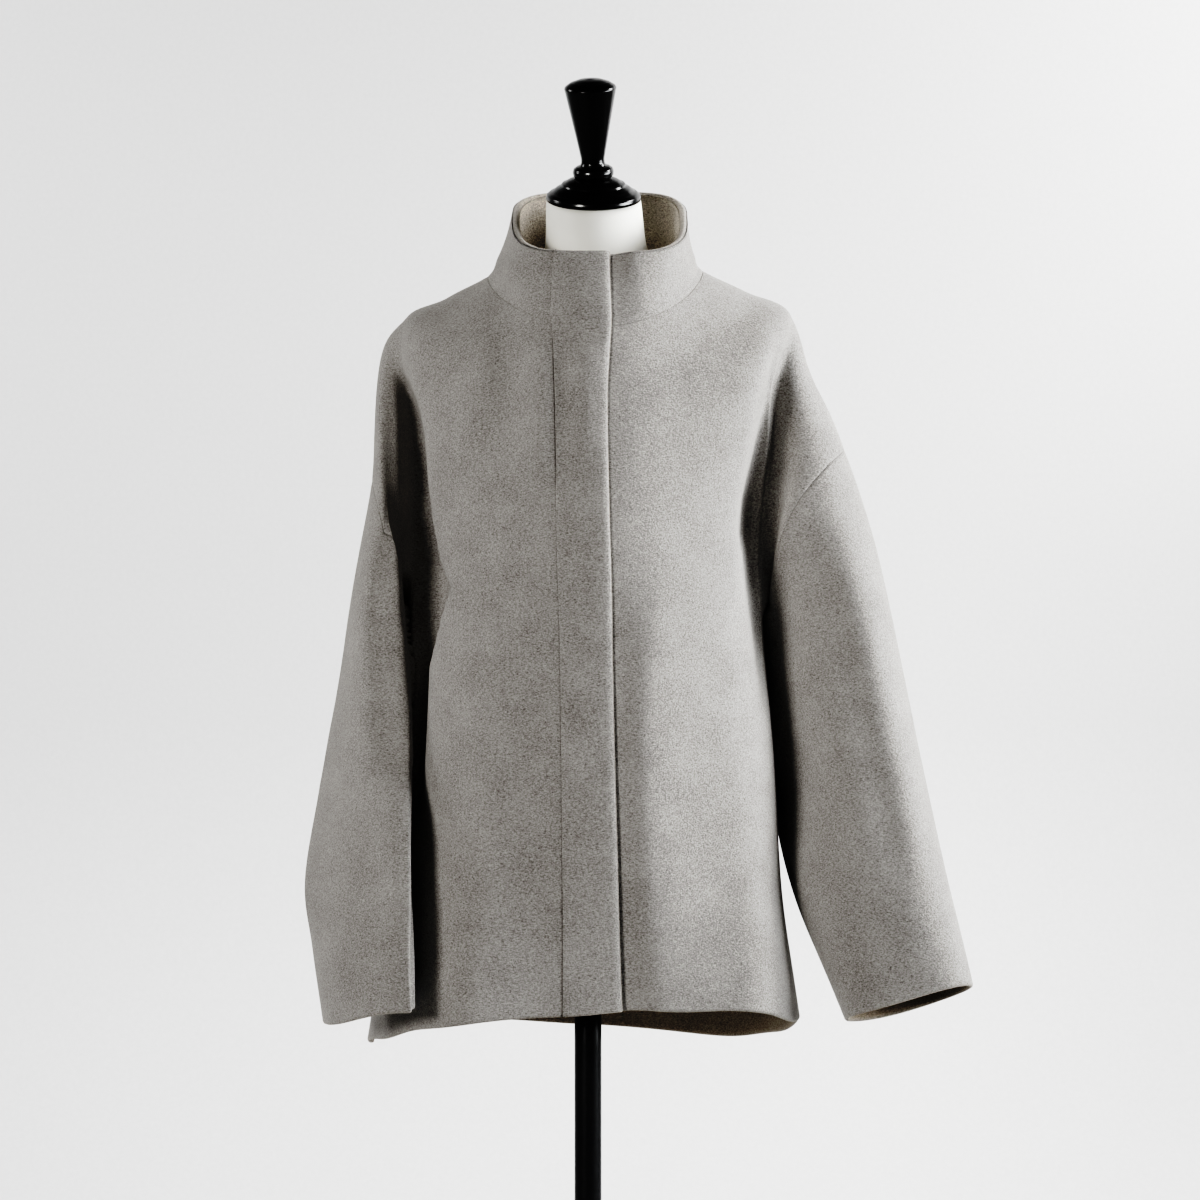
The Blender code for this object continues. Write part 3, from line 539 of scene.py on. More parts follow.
class Coat:
    """The coat's outer surface as one welded grid, from which each cloth piece takes its cells."""

    def __init__(self):
        tight_rows = (list(COAT_RINGS).index(NECK_ROW),)
        tight_lines = tuple(LINES.index(n) for n in TIGHT_LINES)
        at_rows = places(RING_STEPS, tight_rows)
        at_lines = places(LINE_STEPS, tight_lines)[:-1]
        self.grid = ring_grid(COAT_RINGS, at_rows, at_lines)
        self.rows, self.columns = self.grid.shape[:2]
        row_at = np.concatenate([[0], np.cumsum(RING_STEPS)])
        self.row = {n: int(row_at[k]) for k, n in enumerate(COAT_RINGS)}
        line_at = np.concatenate([[0], np.cumsum(LINE_STEPS)])
        self.line = {n: int(line_at[k]) for k, n in enumerate(LINES)}
        self.index = np.arange(self.rows * self.columns).reshape(self.rows, self.columns)
        self.points = [self.grid.reshape(-1, 3)]
        self.cells = {}
        self.sleeves = {}
        for side, rows in (("left", LEFT_SLEEVE), ("right", RIGHT_SLEEVE)):
            self.add_sleeve(side, rows)
        self.points = np.concatenate(self.points)
        self.add_body_cells()
        self.relax(RELAX_TURNS * FINE ** 2)
        self.shift()
        self.press_sleeve()
        self.find_normals()
        self.points = self.points + self.normals * self.folds()[:, None]
        for side in ("right", "left"):
            self.points = self.hollowed(side)
        self.find_normals()
        for side in ("right", "left"):
            self.rest_sleeve(side)
        self.find_normals()

    def add_sleeve(self, side, rows):
        """Welds one sleeve to the armhole: a loop of the grid's points, from the shoulder down the front
        and up the back, is the first ring, and the sleeve leaves it along the coat's own slope."""
        low, high = (self.row[n] for n in ARM_ROWS)
        letter = side[0]
        front, mid, back = (self.line[n.format(letter)] for n in ("arm_{}f", "side_{}", "arm_{}b"))
        toward = 1 if front > mid else -1
        ahead = list(range(mid, front, toward))
        behind = list(range(back, mid, toward))
        loop = [(high, c) for c in ahead]
        loop += [(r, front) for r in range(high, low, -1)]
        loop += [(low, c) for c in reversed([c + toward for c in ahead])]
        loop += [(low, c) for c in reversed([c + toward for c in behind])]
        loop += [(r, back) for r in range(low, high)]
        loop += [(high, c) for c in behind]
        loop = np.array(loop)
        out = np.zeros_like(loop)
        out[:, 0] = (loop[:, 0] == high).astype(int) - (loop[:, 0] == low)
        out[:, 1] = toward * ((loop[:, 1] == front).astype(int) - (loop[:, 1] == back))
        root = self.grid[loop[:, 0], loop[:, 1]]
        near = self.grid[loop[:, 0] + FINE * out[:, 0], loop[:, 1] + FINE * out[:, 1]]
        heading = root - near
        heading = heading / np.linalg.norm(heading, axis=1, keepdims=True)
        seam = list(rows).index(ARMHOLE_ROW) + 1
        steps = [SHOULDER_STEPS] * seam + [SLEEVE_STEPS] * (len(rows) - seam)
        grid = sleeve_grid(rows, root, heading, places(steps, (seam,)), SHOULDER_STEPS)
        start = sum(len(p) for p in self.points)
        index = np.arange((len(grid) - 1) * len(root)).reshape(-1, len(root)) + start
        index = np.concatenate([self.index[loop[:, 0], loop[:, 1]][None], index])
        self.points.append(grid[1:].reshape(-1, 3))
        wrap = np.concatenate([index, index[:, :1]], axis=1)
        cells = np.stack([wrap[:-1, :-1], wrap[1:, :-1], wrap[1:, 1:], wrap[:-1, 1:]], axis=-1)
        if side == "left":
            cells = cells[..., ::-1]
        self.cells[side + "_sleeve"] = cells
        self.sleeves[side] = {"index": index, "seam": seam * SHOULDER_STEPS}

    def add_body_cells(self):
        """Quads between neighbouring rows and lines, less the two armholes."""
        wrap = np.concatenate([self.index, self.index[:, :1]], axis=1)
        cells = np.stack([wrap[:-1, :-1], wrap[:-1, 1:], wrap[1:, 1:], wrap[1:, :-1]], axis=-1)
        kept = np.ones(cells.shape[:2], bool)
        low, high = (self.row[n] for n in ARM_ROWS)
        kept[low:high, self.line["arm_rb"]:self.line["arm_rf"]] = False
        kept[low:high, self.line["arm_lf"]:self.line["arm_lb"]] = False
        self.cells["body"] = cells
        self.kept = kept

    def all_cells(self):
        """Every quad of the body and both sleeves."""
        cells = [self.cells["body"][self.kept]]
        cells += [self.cells[n].reshape(-1, 4) for n in ("left_sleeve", "right_sleeve")]
        return np.concatenate(cells)

    def relax(self, turns):
        """Evens out the cloth round the armholes by drawing each point to the mean of its neighbours."""
        weight = np.zeros(len(self.points))
        for sleeve in self.sleeves.values():
            reach = np.arange(len(sleeve["index"])) / sleeve["seam"]
            weight[sleeve["index"]] = (0.5 * np.clip(2 - reach, 0, 1))[:, None]
        cells = self.all_cells()
        pairs = np.concatenate([cells[:, [k, (k + 1) % 4]] for k in range(4)])
        pairs = np.unique(np.sort(pairs, axis=1), axis=0)
        a, b = np.concatenate([pairs, pairs[:, ::-1]]).T
        moving = weight[a] > 0
        a, b = a[moving], b[moving]
        count = len(self.points)
        times = np.maximum(np.bincount(a, minlength=count), 1)[:, None]
        for _ in range(turns):
            near = np.stack([np.bincount(a, self.points[b, k], count) for k in range(3)], 1)
            self.points = self.points + weight[:, None] * (near / times - self.points)

    def shift(self):
        """Sum of small listed shifts, each a bell in the front view."""
        x, y, z = self.points.T
        moved = self.points.copy()
        sleeve = np.ones(len(self.points))
        sleeve[self.index] = 0
        front = np.clip(0.5 - y / 40, 0, 1)
        self.on_part = {"all": 1, "front": front, "rear": 1 - front, "sleeve": sleeve, "body": 1 - sleeve}
        for row in SHIFTS:
            f = dict(zip(SHIFT_COLUMNS, row))
            share = np.exp(-0.5 * ((x - f["x"]) / f["wide"]) ** 2 - 0.5 * ((z - f["z"]) / f["high"]) ** 2)
            share = share * self.on_part[f["part"]]
            moved[:, 0] += f["across"] * share
            moved[:, 1] += f["back"] * share
            moved[:, 2] += f["up"] * share
        self.points = moved

    def press_sleeve(self):
        """Squares the right sleeve's inner front corner: from its foremost point to its inner end each
        ring follows, in plan, a quarter of a steep superellipse through the pressed edge."""
        sleeve = self.sleeves["right"]
        index = sleeve["index"]
        half = index.shape[1] // 2
        p = self.points[index[:, :half + 1]]
        u = np.linspace(0, 1, half + 1)
        near = np.exp((p[:, :, 1].min(axis=1, keepdims=True) - p[:, :, 1]) / PRESSED_SOFT)
        first = (near * u).sum(axis=1) / near.sum(axis=1)
        start = np.stack([[np.interp(f, u, ring[:, k]) for k in range(3)] for f, ring in zip(first, p)])
        end = p[:, -1]
        height, edge = np.array(PRESSED_EDGE).T
        edge = np.interp(start[:, 2], height, edge)[:, None]
        turn = np.clip((u - first[:, None]) / (1 - first[:, None]), 0, 1) * math.pi / 2
        s = np.sin(turn) ** (2 / PRESSED_SQUARE)
        c = np.clip(np.cos(turn), 0, 1) ** (2 / PRESSED_SQUARE)
        x0, y0 = start[:, :1], start[:, 1:2]
        x1, y1 = np.minimum(end[:, :1], edge - PRESSED_TUCK), end[:, 1:2]
        x = x0 + (edge - x0) * s + (x1 - edge) * (1 - c)
        y = y1 + (y0 - y1) * c - PRESSED_LEAN * (edge - x0) * s * c
        rows = np.arange(len(index))[:, None] - sleeve["seam"] + 2 * FINE
        share = np.clip(rows / (3.0 * FINE), 0, 1)
        share = share * share * (3 - 2 * share) * (u > first[:, None])
        p[:, :, 0] += share * (x - p[:, :, 0])
        p[:, :, 1] += share * (y - p[:, :, 1])
        self.points[index[1:, :half + 1]] = p[1:]

    def find_normals(self):
        """Unit normals at the points: the sum of the crossed diagonals of the quads round each."""
        cells = self.all_cells()
        p = self.points[cells]
        face = np.cross(p[:, 2] - p[:, 0], p[:, 3] - p[:, 1])
        total = np.zeros_like(self.points)
        for k in range(4):
            np.add.at(total, cells[:, k], face)
        self.normals = total / np.maximum(np.linalg.norm(total, axis=1, keepdims=True), 1e-9)

    def faces_of_folds(self):
        """How much of each point lies on each face that a fold can name, from its place and normal."""
        on = {}
        body = np.ones(len(self.points))
        turn = np.clip(0.5 - 1.6 * self.normals[:, 1], 0, 1)
        for side, sleeve in self.sleeves.items():
            reach = np.clip((np.arange(len(sleeve["index"])) / sleeve["seam"] - 0.35) / 0.5, 0, 1)
            share = np.zeros(len(self.points))
            share[sleeve["index"]] = reach[:, None]
            on[side + "_sleeve"] = share * turn
            on[side + "_sleeve_back"] = share * (1 - turn)
            body = body - share
        on["front"] = body * turn
        on["back"] = body * (1 - turn)
        return on

    def folds(self):
        """Sum of soft ridges and troughs: a bell across each fold's bowed line, faded at its ends."""
        on = self.faces_of_folds()
        total = np.zeros(len(self.points))
        x, z = self.points[:, 0], self.points[:, 2]
        for row in FOLDS:
            f = dict(zip(FOLD_COLUMNS, row))
            start = np.array([f["x_top"], f["z_top"]])
            along = np.array([f["x_low"], f["z_low"]]) - start
            length = np.hypot(*along)
            along = along / length
            t = ((x - start[0]) * along[0] + (z - start[1]) * along[1]) / length
            off = (x - start[0]) * along[1] - (z - start[1]) * along[0]
            off = off - f["bow"] * 4 * np.clip(t, 0, 1) * (1 - np.clip(t, 0, 1))
            past = np.clip(np.abs(t - 0.5) - 0.5, 0, None) * length
            inside = np.clip(np.minimum(t, 1 - t) / 0.25, 0, 1)
            fade = np.where(past > 0, 0.0, inside * inside * (3 - 2 * inside))
            total += f["height"] * fade * np.exp(-0.5 * (off / f["width"]) ** 2) * on[f["face"]]
        return total

    def hollowed(self, side):
        """Points with the hollow before one armhole: between its two edges no point stands before the
        hollow's floor, by a rounded maximum, an S-curve at each edge fades it out, and the body's edge
        rolls under a little. The right sleeve leaves the hollow below its armhole."""
        t = table(HOLLOW_COLUMNS, HOLLOWS[side])
        x, y, z = self.points.T
        at = {n: np.interp(-z, -t["z"], v) for n, v in t.items()}
        away = 1 if side == "left" else -1
        body_soft, sleeve_soft = HOLLOW_EDGES[side]
        reach = away * (x - at["body_x"])
        inside = 0.5 + 0.5 * np.tanh(reach / body_soft)
        inside = inside * (0.5 - 0.5 * np.tanh(away * (x - at["sleeve_x"]) / sleeve_soft))
        back = 0.5 * (y + at["floor_y"] + np.sqrt((y - at["floor_y"]) ** 2 + FLOOR_ROUND ** 2))
        moved = inside * at["share"] * (back - y)
        if side == "right":
            low, high = SLEEVE_LEAVES
            moved = moved * (1 - self.on_part["sleeve"] * np.clip((high - z) / (high - low), 0, 1))
        roll = np.exp(-(reach / ROLL_WIDTH) ** 2) * np.clip(moved / ROLL_DEPTH, 0, 1)
        return np.stack([x - away * at["under"] * roll, y + moved, z], axis=1)

    def rest_sleeve(self, side):
        """Draws the sleeve's inner face against the body. The gap at a sleeve point is measured across
        from the body's nearest point at that height and depth, carried on along its slope. A narrow gap
        closes to a hair, and a sleeve point inside the outermost of the body's slopes comes out."""
        away = 1 if side == "left" else -1
        index = self.sleeves[side]["index"][self.sleeves[side]["seam"] - 2 * FINE:].ravel()
        index = index[(self.points[index, 2] > REST_LOWEST) & (-away * self.normals[index, 0] > 0)]
        low = self.row[ARM_ROWS[0]]
        middle = self.line["side_" + side[0]]
        body = self.index[: low + 1, middle - 7 * FINE:middle + 7 * FINE].ravel()
        skin, tilt = self.points[body], self.normals[body]
        outer = away * tilt[:, 0] > OUTWARD
        tilt = tilt[:, 1:] / np.where(away * tilt[:, :1] > FACING, tilt[:, :1], away * FACING)
        p = self.points[index]
        gap = np.full(len(p), NO_GAP)
        push = gap.copy()
        for k in range(0, len(p), REST_BLOCK):
            some = slice(k, k + REST_BLOCK)
            off = p[some, None, 1:] - skin[None, :, 1:]
            far = np.abs(off).sum(axis=2)
            apart = away * (p[some, :1] - skin[:, 0] + (tilt * off).sum(axis=2))
            near = far.argmin(axis=1)[:, None]
            beside = np.where(far < REST_REACH["nearest"], apart, NO_GAP)
            gap[some] = np.take_along_axis(beside, near, 1)[:, 0]
            push[some] = np.where((far < REST_REACH["outermost"]) & outer, apart, NO_GAP).min(axis=1)
        gap = np.where(push < REST_GAP[side], push, gap)
        facing = np.clip(-away * self.normals[index, 0] / FACING, 0, 1)
        start, full = REST_HEIGHTS
        fade = np.clip((REST_WIDEST - gap) / REST_SLOPE, 0, 1)
        fade = fade * np.clip((p[:, 2] - start) / (full - start), 0, 1)
        excess = gap - REST_GAP[side]
        self.points[index, 0] -= away * np.where(excess < 0, excess, facing * fade * excess)

    def body_part(self, rows, columns):
        """Body quads in a span of rows and the given columns."""
        picked = np.zeros_like(self.kept)
        picked[rows[0]:rows[1], columns] = True
        return self.cells["body"][picked & self.kept]

    def drop_part(self, side, face):
        """Quads of a dropped shoulder, which belong to the front or the back."""
        cells = self.cells[side + "_sleeve"][: self.sleeves[side]["seam"]]
        half = cells.shape[1] // 2
        chosen = cells[:, :half] if face == "front" else cells[:, half:]
        return chosen.reshape(-1, 4)

    def sleeve_part(self, side):
        """Quads of one sleeve below its seam."""
        return self.cells[side + "_sleeve"][self.sleeves[side]["seam"]:].reshape(-1, 4)

    def underlap(self, drop):
        """Depth by which the left front's edge lies below the surface to pass under the band: an
        S-curve away from the edge, deepest towards the hem."""
        depth = np.zeros(len(self.points))
        edge, seam = self.line["edge"], self.line["seam"]
        step = np.linalg.norm(np.diff(self.grid[:, edge:], axis=1), axis=2)
        away = np.concatenate([np.zeros((self.rows, 1)), np.cumsum(step, axis=1)], axis=1)
        height, deeper, reach = np.array(UNDERLAP).T
        at = self.grid[:, edge, 2]
        fade = np.clip(1 - away / np.interp(at, height, reach)[:, None], 0, 1)
        drop = drop + np.interp(at, height, deeper)[:, None]
        depth[self.index[:, edge:]] = drop * fade * fade * (3 - 2 * fade)
        depth[self.index[:, seam + 1:edge]] = drop
        return depth

    def seam_lines(self):
        """Points along the sewn seams: neck, armholes, shoulders, sides and the band's left seam."""
        neck = self.row[NECK_ROW]
        low, high = (self.row[n] for n in ARM_ROWS)
        lines = [self.index[neck, self.line["edge"]:], self.index[neck, :self.line["seam"]]]
        lines += [self.index[:, self.line["seam"]]]
        for side in ("l", "r"):
            middle = self.line["side_" + side]
            lines += [self.index[:low, middle], self.index[high:neck, middle]]
        for sleeve in self.sleeves.values():
            lines += [sleeve["index"][sleeve["seam"]], sleeve["index"][: sleeve["seam"], 0]]
        return lines

    def free_edges(self):
        """Points on the coat's open edges, whose walls are fully rounded."""
        free = np.zeros(len(self.points), bool)
        free[self.index[0]] = True
        free[self.index[-1]] = True
        for sleeve in self.sleeves.values():
            free[sleeve["index"][-1]] = True
        return free


COAT = {}


def coat():
    """The coat's fine grid, worked out once, with its seam grooves and the thickness of its hems: a bell
    across each seam, and an S-curve up from each hem."""
    if "grid" not in COAT:
        made = Coat()
        dip = np.zeros(len(made.points))
        for line in made.seam_lines():
            away = near_line(made.points, made.points[line])
            dip = np.maximum(dip, SEAM_DIP * np.exp(-(away / SEAM_SPREAD) ** 2))
        made.dip = dip
        edges = [made.index[0]] + [sleeve["index"][-1] for sleeve in made.sleeves.values()]
        up = near_line(made.points, made.points[np.concatenate(edges)]) / HEM_DEPTH
        near = np.clip(1 + HEM_SLOPE - up, 0, HEM_SLOPE) / HEM_SLOPE
        made.hem = HEM_FOLD * near * near * (3 - 2 * near)
        COAT["grid"] = made
    return COAT["grid"]


def rounded_wall(grid, cells, wall, lift, free, rim_steps=4, inner_lift=None):
    """Closed wall over the cells: the surface lifted along its normals, a copy one wall below it, and
    between them a half ellipse round every edge, as deep as half the wall at the free edges. The third
    result runs from 0 on the outside to 1 on the inside."""
    # The third result sets where the wool paints shade on the inner side, and on the collar paints light
    used, flat = np.unique(cells.reshape(-1), return_inverse=True)
    quads = flat.reshape(-1, 4)
    count = len(used)
    normal = grid.normals[used]
    outer = grid.points[used] + normal * np.broadcast_to(lift, len(grid.points))[used, None]
    sides = np.concatenate([quads[:, [k, (k + 1) % 4]] for k in range(4)])
    _, where, times = np.unique(np.sort(sides, axis=1), axis=0, return_inverse=True, return_counts=True)
    rim = sides[times[where.reshape(-1)] == 1]
    a, b = rim.T
    along = outer[b] - outer[a]
    out = np.zeros_like(outer)
    for end in (a, b):
        np.add.at(out, end, np.cross(along, normal[end]))
    out = out / np.maximum(np.linalg.norm(out, axis=1, keepdims=True), 1e-9)
    on_rim = np.unique(rim)
    below = np.full(count, wall) if inner_lift is None else wall - inner_lift[used]
    bulge = np.where(free[used], np.maximum(below, wall) / 2, SEAM_ROUND)[:, None]
    pulled = np.zeros((count, 1))
    pulled[on_rim] = EDGE_PULL + bulge[on_rim]
    outer = outer - out * pulled
    inner = outer - normal * below[:, None]
    ring = np.zeros(count, int)
    ring[on_rim] = np.arange(len(on_rim))
    middle, half = (outer + inner)[on_rim] / 2, (outer - inner)[on_rim] / 2
    angles = np.linspace(0, math.pi, rim_steps + 1)[1:-1]
    rings = [middle + math.cos(t) * half + math.sin(t) * (bulge * out)[on_rim] for t in angles]
    stages = [np.arange(count)]
    stages += [2 * count + k * len(on_rim) + ring for k in range(len(rings))]
    stages += [np.arange(count) + count]
    faces = [quads, quads[:, ::-1] + count]
    for top, low in zip(stages[:-1], stages[1:]):
        faces.append(np.stack([top[b], top[a], low[a], low[b]], axis=1))
    depth = [np.zeros(count), np.ones(count)] + [np.full(len(on_rim), t / math.pi) for t in angles]
    return np.concatenate([outer, inner] + rings) * MM, np.concatenate(faces), np.concatenate(depth)


def new_piece(name, points, faces, material, nodes, depth=None):
    """Mesh object from points and quads, smooth, riding on the part in place of its solids."""
    mesh = bpy.data.meshes.new(name)
    if isinstance(faces, np.ndarray):
        mesh.vertices.add(len(points))
        mesh.vertices.foreach_set("co", np.asarray(points, np.float32).ravel())
        mesh.loops.add(faces.size)
        mesh.loops.foreach_set("vertex_index", np.asarray(faces, np.int32).ravel())
        mesh.polygons.add(len(faces))
        mesh.polygons.foreach_set("loop_start", np.arange(0, faces.size, 4, dtype=np.int32))
        mesh.update(calc_edges=True)
    else:
        mesh.from_pydata(np.asarray(points).tolist(), [], faces)
    mesh.validate()
    mesh.shade_smooth()
    # The inside attribute marks the inner side, where the wool paints shade, and on the collar paints light
    if depth is not None:
        inside = mesh.attributes.new("inside", "FLOAT", "POINT")
        inside.data.foreach_set("value", np.asarray(depth, np.float32))
    mesh.materials.append(material)
    piece = bpy.data.objects.new(name, mesh)
    bpy.context.scene.collection.objects.link(piece)
    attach(piece, "root")
    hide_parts(*nodes)
    return piece


def new_material(name):
    """Material, a short way to add nodes to it, its shader, its links and the piece's own coordinates."""
    material = bpy.data.materials.new(name)
    material.use_nodes = True
    tree = material.node_tree

    def add(kind, links=(), **values):
        node = tree.nodes.new(kind)
        for key, value in values.items():
            if key in node.inputs:
                node.inputs[key].default_value = value
            else:
                setattr(node, key, value)
        for name, source in links:
            tree.links.new(source, node.inputs[name])
        return node

    place = add("ShaderNodeTexCoord").outputs["Object"]
    return material, add, tree.nodes["Principled BSDF"], tree.links, place


def wool_material(name, seed=0.0, painted_inside_light=None):
    """Felted melange: pale and dark fibres mixed by four noises, with a soft nap and sheen; a tint paints
    shade on the inner side, and the collar's paler tint paints light there instead.
    """
    cloth = bpy.context.scene.blouson_cloth
    material, add, shader, links, place = new_material(name)
    shift = add("ShaderNodeMapping", [("Vector", place)])
    shift.inputs["Location"].default_value = (seed, seed * 0.7, seed * 1.3)
    at = shift.outputs["Vector"]
    speck = add("ShaderNodeTexNoise", [("Vector", at)], Scale=1000.0, Detail=3.0, Roughness=0.7)
    tuft = add("ShaderNodeTexNoise", [("Vector", at)], Scale=600.0, Detail=3.0, Roughness=0.6)
    cloud = add("ShaderNodeTexNoise", [("Vector", at)], Scale=26.0, Detail=2.0)
    lay = add("ShaderNodeMapping", [("Vector", place)])
    lay.inputs["Scale"].default_value = (330.0, 900.0, 1150.0)
    fibre = add("ShaderNodeTexNoise", [("Vector", lay.outputs["Vector"])], Scale=1.0, Detail=2.0)
    first = add("ShaderNodeMath", [(0, speck.outputs["Fac"]), (1, tuft.outputs["Fac"])], operation="ADD")
    second = add("ShaderNodeMath", [(0, first.outputs[0]), (1, fibre.outputs["Fac"])], operation="ADD")
    third = add("ShaderNodeMath", [(0, cloud.outputs["Fac"])], operation="MULTIPLY")
    third.inputs[1].default_value = 0.30
    total = add("ShaderNodeMath", [(0, second.outputs[0]), (1, third.outputs[0])], operation="ADD")
    mix = add("ShaderNodeMapRange", [("Value", total.outputs[0])])
    mix.inputs["From Min"].default_value = 1.20
    mix.inputs["From Max"].default_value = 2.25
    ramp = add("ShaderNodeValToRGB", [("Fac", mix.outputs["Result"])])
    ramp.color_ramp.elements[0].color = (*cloth.dark, 1)
    ramp.color_ramp.elements[1].color = (*cloth.light, 1)
    # Painted shade: the inside attribute mixes a darker, browner tint into the cloth's inner side; the
    # collar's paler tint paints light there instead
    inside = add("ShaderNodeAttribute", attribute_name="inside")
    back = add("ShaderNodeMix", [("Factor", inside.outputs["Fac"])], data_type="RGBA", blend_type="MULTIPLY")
    links.new(ramp.outputs["Color"], back.inputs[6])
    back.inputs[7].default_value = (*(cloth.inside if painted_inside_light is None else painted_inside_light), 1)
    links.new(back.outputs[2], shader.inputs["Base Color"])
    nap = add("ShaderNodeTexNoise", [("Vector", at)], Scale=620.0, Detail=4.0, Roughness=0.7)
    rise = add("ShaderNodeMath", [(0, nap.outputs["Fac"]), (1, tuft.outputs["Fac"])], operation="ADD")
    bump = add("ShaderNodeBump", [("Height", rise.outputs[0])], Strength=0.5, Distance=0.0011)
    links.new(bump.outputs["Normal"], shader.inputs["Normal"])
    shader.inputs["Roughness"].default_value = 0.96
    shader.inputs["Specular IOR Level"].default_value = 0.15
    shader.inputs["Sheen Weight"].default_value = 0.28
    shader.inputs["Sheen Roughness"].default_value = 0.55
    shader.inputs["Sheen Tint"].default_value = (0.95, 0.92, 0.88, 1)
    return material


def cover_material():
    """Cream cloth over the form: two crossing thread waves, a little uneven."""
    material, add, shader, links, place = new_material("form_cover")
    weft = add("ShaderNodeTexWave", [("Vector", place)], Scale=420.0, Distortion=1.2, Detail=2.0)
    weft.bands_direction = "Z"
    warp = add("ShaderNodeTexWave", [("Vector", place)], Scale=420.0, Distortion=1.2, Detail=2.0)
    warp.bands_direction = "X"
    slub = add("ShaderNodeTexNoise", [("Vector", place)], Scale=60.0, Detail=3.0)
    thread = add("ShaderNodeMath", [(0, weft.outputs["Fac"]), (1, warp.outputs["Fac"])], operation="ADD")
    tone = add("ShaderNodeMath", [(0, thread.outputs[0]), (1, slub.outputs["Fac"])], operation="ADD")
    mix = add("ShaderNodeMapRange", [("Value", tone.outputs[0])])
    mix.inputs["From Max"].default_value = 2.6
    ramp = add("ShaderNodeValToRGB", [("Fac", mix.outputs["Result"])])
    base = Vector(bpy.context.scene.blouson_stand.cover)
    ramp.color_ramp.elements[0].color = (*(base * 0.90), 1)
    ramp.color_ramp.elements[1].color = (*base, 1)
    links.new(ramp.outputs["Color"], shader.inputs["Base Color"])
    bump = add("ShaderNodeBump", [("Height", thread.outputs[0])], Strength=0.2, Distance=0.0004)
    links.new(bump.outputs["Normal"], shader.inputs["Normal"])
    shader.inputs["Roughness"].default_value = 0.85
    return material


def gloss_material(name, colour, roughness, specular, grain):
    """Black finish with a faint grain in its colour and roughness."""
    material, add, shader, links, place = new_material(name)
    grains = add("ShaderNodeTexNoise", [("Vector", place)], Scale=grain, Detail=3.0)
    rough = add("ShaderNodeMapRange", [("Value", grains.outputs["Fac"])])
    rough.inputs["To Min"].default_value = roughness * 0.75
    rough.inputs["To Max"].default_value = roughness * 1.3
    tone = add("ShaderNodeValToRGB", [("Fac", grains.outputs["Fac"])])
    tone.color_ramp.elements[0].color = (*(Vector(colour) * 0.7), 1)
    tone.color_ramp.elements[1].color = (*(Vector(colour) * 1.4), 1)
    links.new(tone.outputs["Color"], shader.inputs["Base Color"])
    links.new(rough.outputs["Result"], shader.inputs["Roughness"])
    shader.inputs["Specular IOR Level"].default_value = specular
    return material


def closed_rings(rings, low, high):
    """Quads between the rings of a stack, with a fan round one point at each end."""
    count, around = rings.shape[:2]
    index = np.arange(count * around).reshape(count, around)
    wrap = np.concatenate([index, index[:, :1]], axis=1)
    faces = np.stack([wrap[:-1, :-1], wrap[:-1, 1:], wrap[1:, 1:], wrap[1:, :-1]], -1).reshape(-1, 4).tolist()
    faces += [[index.size, b, a] for a, b in zip(wrap[0, :-1].tolist(), wrap[0, 1:].tolist())]
    faces += [[index.size + 1, a, b] for a, b in zip(wrap[-1, :-1].tolist(), wrap[-1, 1:].tolist())]
    return np.concatenate([rings.reshape(-1, 3), [low, high]]), faces


def turned(profile, steps, segments=96):
    """Profile of radius and height turned about Z: each span in steps, poles closed by one point."""
    profile = np.array(profile, float)
    at = np.concatenate([np.linspace(k, k + 1, steps, endpoint=False) for k in range(len(profile) - 1)])
    r = np.interp(at, np.arange(len(profile)), profile[:, 0])[1:]
    h = np.interp(at, np.arange(len(profile)), profile[:, 1])[1:]
    a = np.linspace(0, 2 * math.pi, segments, endpoint=False)
    rings = np.stack([np.outer(r, np.cos(a)), np.outer(r, np.sin(a)), np.outer(h, np.ones(segments))], 2)
    return closed_rings(rings, (0, 0, profile[0, 1]), (0, 0, profile[-1, 1]))


def tilted(points):
    """Points turned from upright onto the neck's sloping seat."""
    c, s = math.cos(CAP_TILT), math.sin(CAP_TILT)
    turn = np.array([[1, 0, 0], [0, c, -s], [0, s, c]])
    return points @ turn.T + np.array(CAP_SEAT)


def leaned(points):
    """Points of the finial set on the cap and leaned a little to one side."""
    c, s = math.cos(FINIAL_LEAN), math.sin(FINIAL_LEAN)
    turn = np.array([[c, 0, s], [0, 1, 0], [-s, 0, c]])
    return tilted(points @ turn.T + np.array([0, 0, FINIAL_FOOT]))


class BLOUSON_OT_body(bpy.types.Operator):
    """Fronts and back with their dropped shoulders"""

    bl_idname = "blouson.body"
    bl_label = "Fronts and back"

    def execute(self, context):
        cloth = context.scene.blouson_cloth
        grid = coat()
        neck, line = grid.row[NECK_ROW], grid.line
        wall = cloth.wall / MM
        right = list(range(line["side_r"], line["seam"]))
        under = list(range(line["seam"] + FINE, line["edge"]))
        left = list(range(line["edge"], line["side_l"]))
        back = list(range(line["side_l"], grid.columns)) + list(range(0, line["side_r"]))
        below = -grid.underlap(cloth.underlap / MM)
        free = grid.free_edges()
        free_left = free.copy()
        free_left[grid.index[:, line["seam"] + FINE]] = True
        pieces = {
            "front_right": ([grid.body_part((0, neck), right), grid.drop_part("right", "front")],
                            -grid.dip, free, (0.30, 0.80), 0.20),
            "front_left": ([grid.body_part((0, neck), under + left), grid.drop_part("left", "front")],
                           below - grid.dip, free_left, (0.36, 0.80), 0.25),
            "back": ([grid.body_part((0, neck), back), grid.drop_part("left", "back"),
                      grid.drop_part("right", "back")], -grid.dip, free, (0.62, 0.82), 0.45),
        }
        for k, (name, (cells, lift, edges, flat, area)) in enumerate(pieces.items()):
            points, faces, depth = rounded_wall(grid, np.concatenate(cells), wall, lift, edges,
                                                inner_lift=-grid.hem)
            piece = new_piece("coat_" + name, points, faces, wool_material("wool_" + name, k * 0.37),
                              [name], depth)
        return {"FINISHED"}


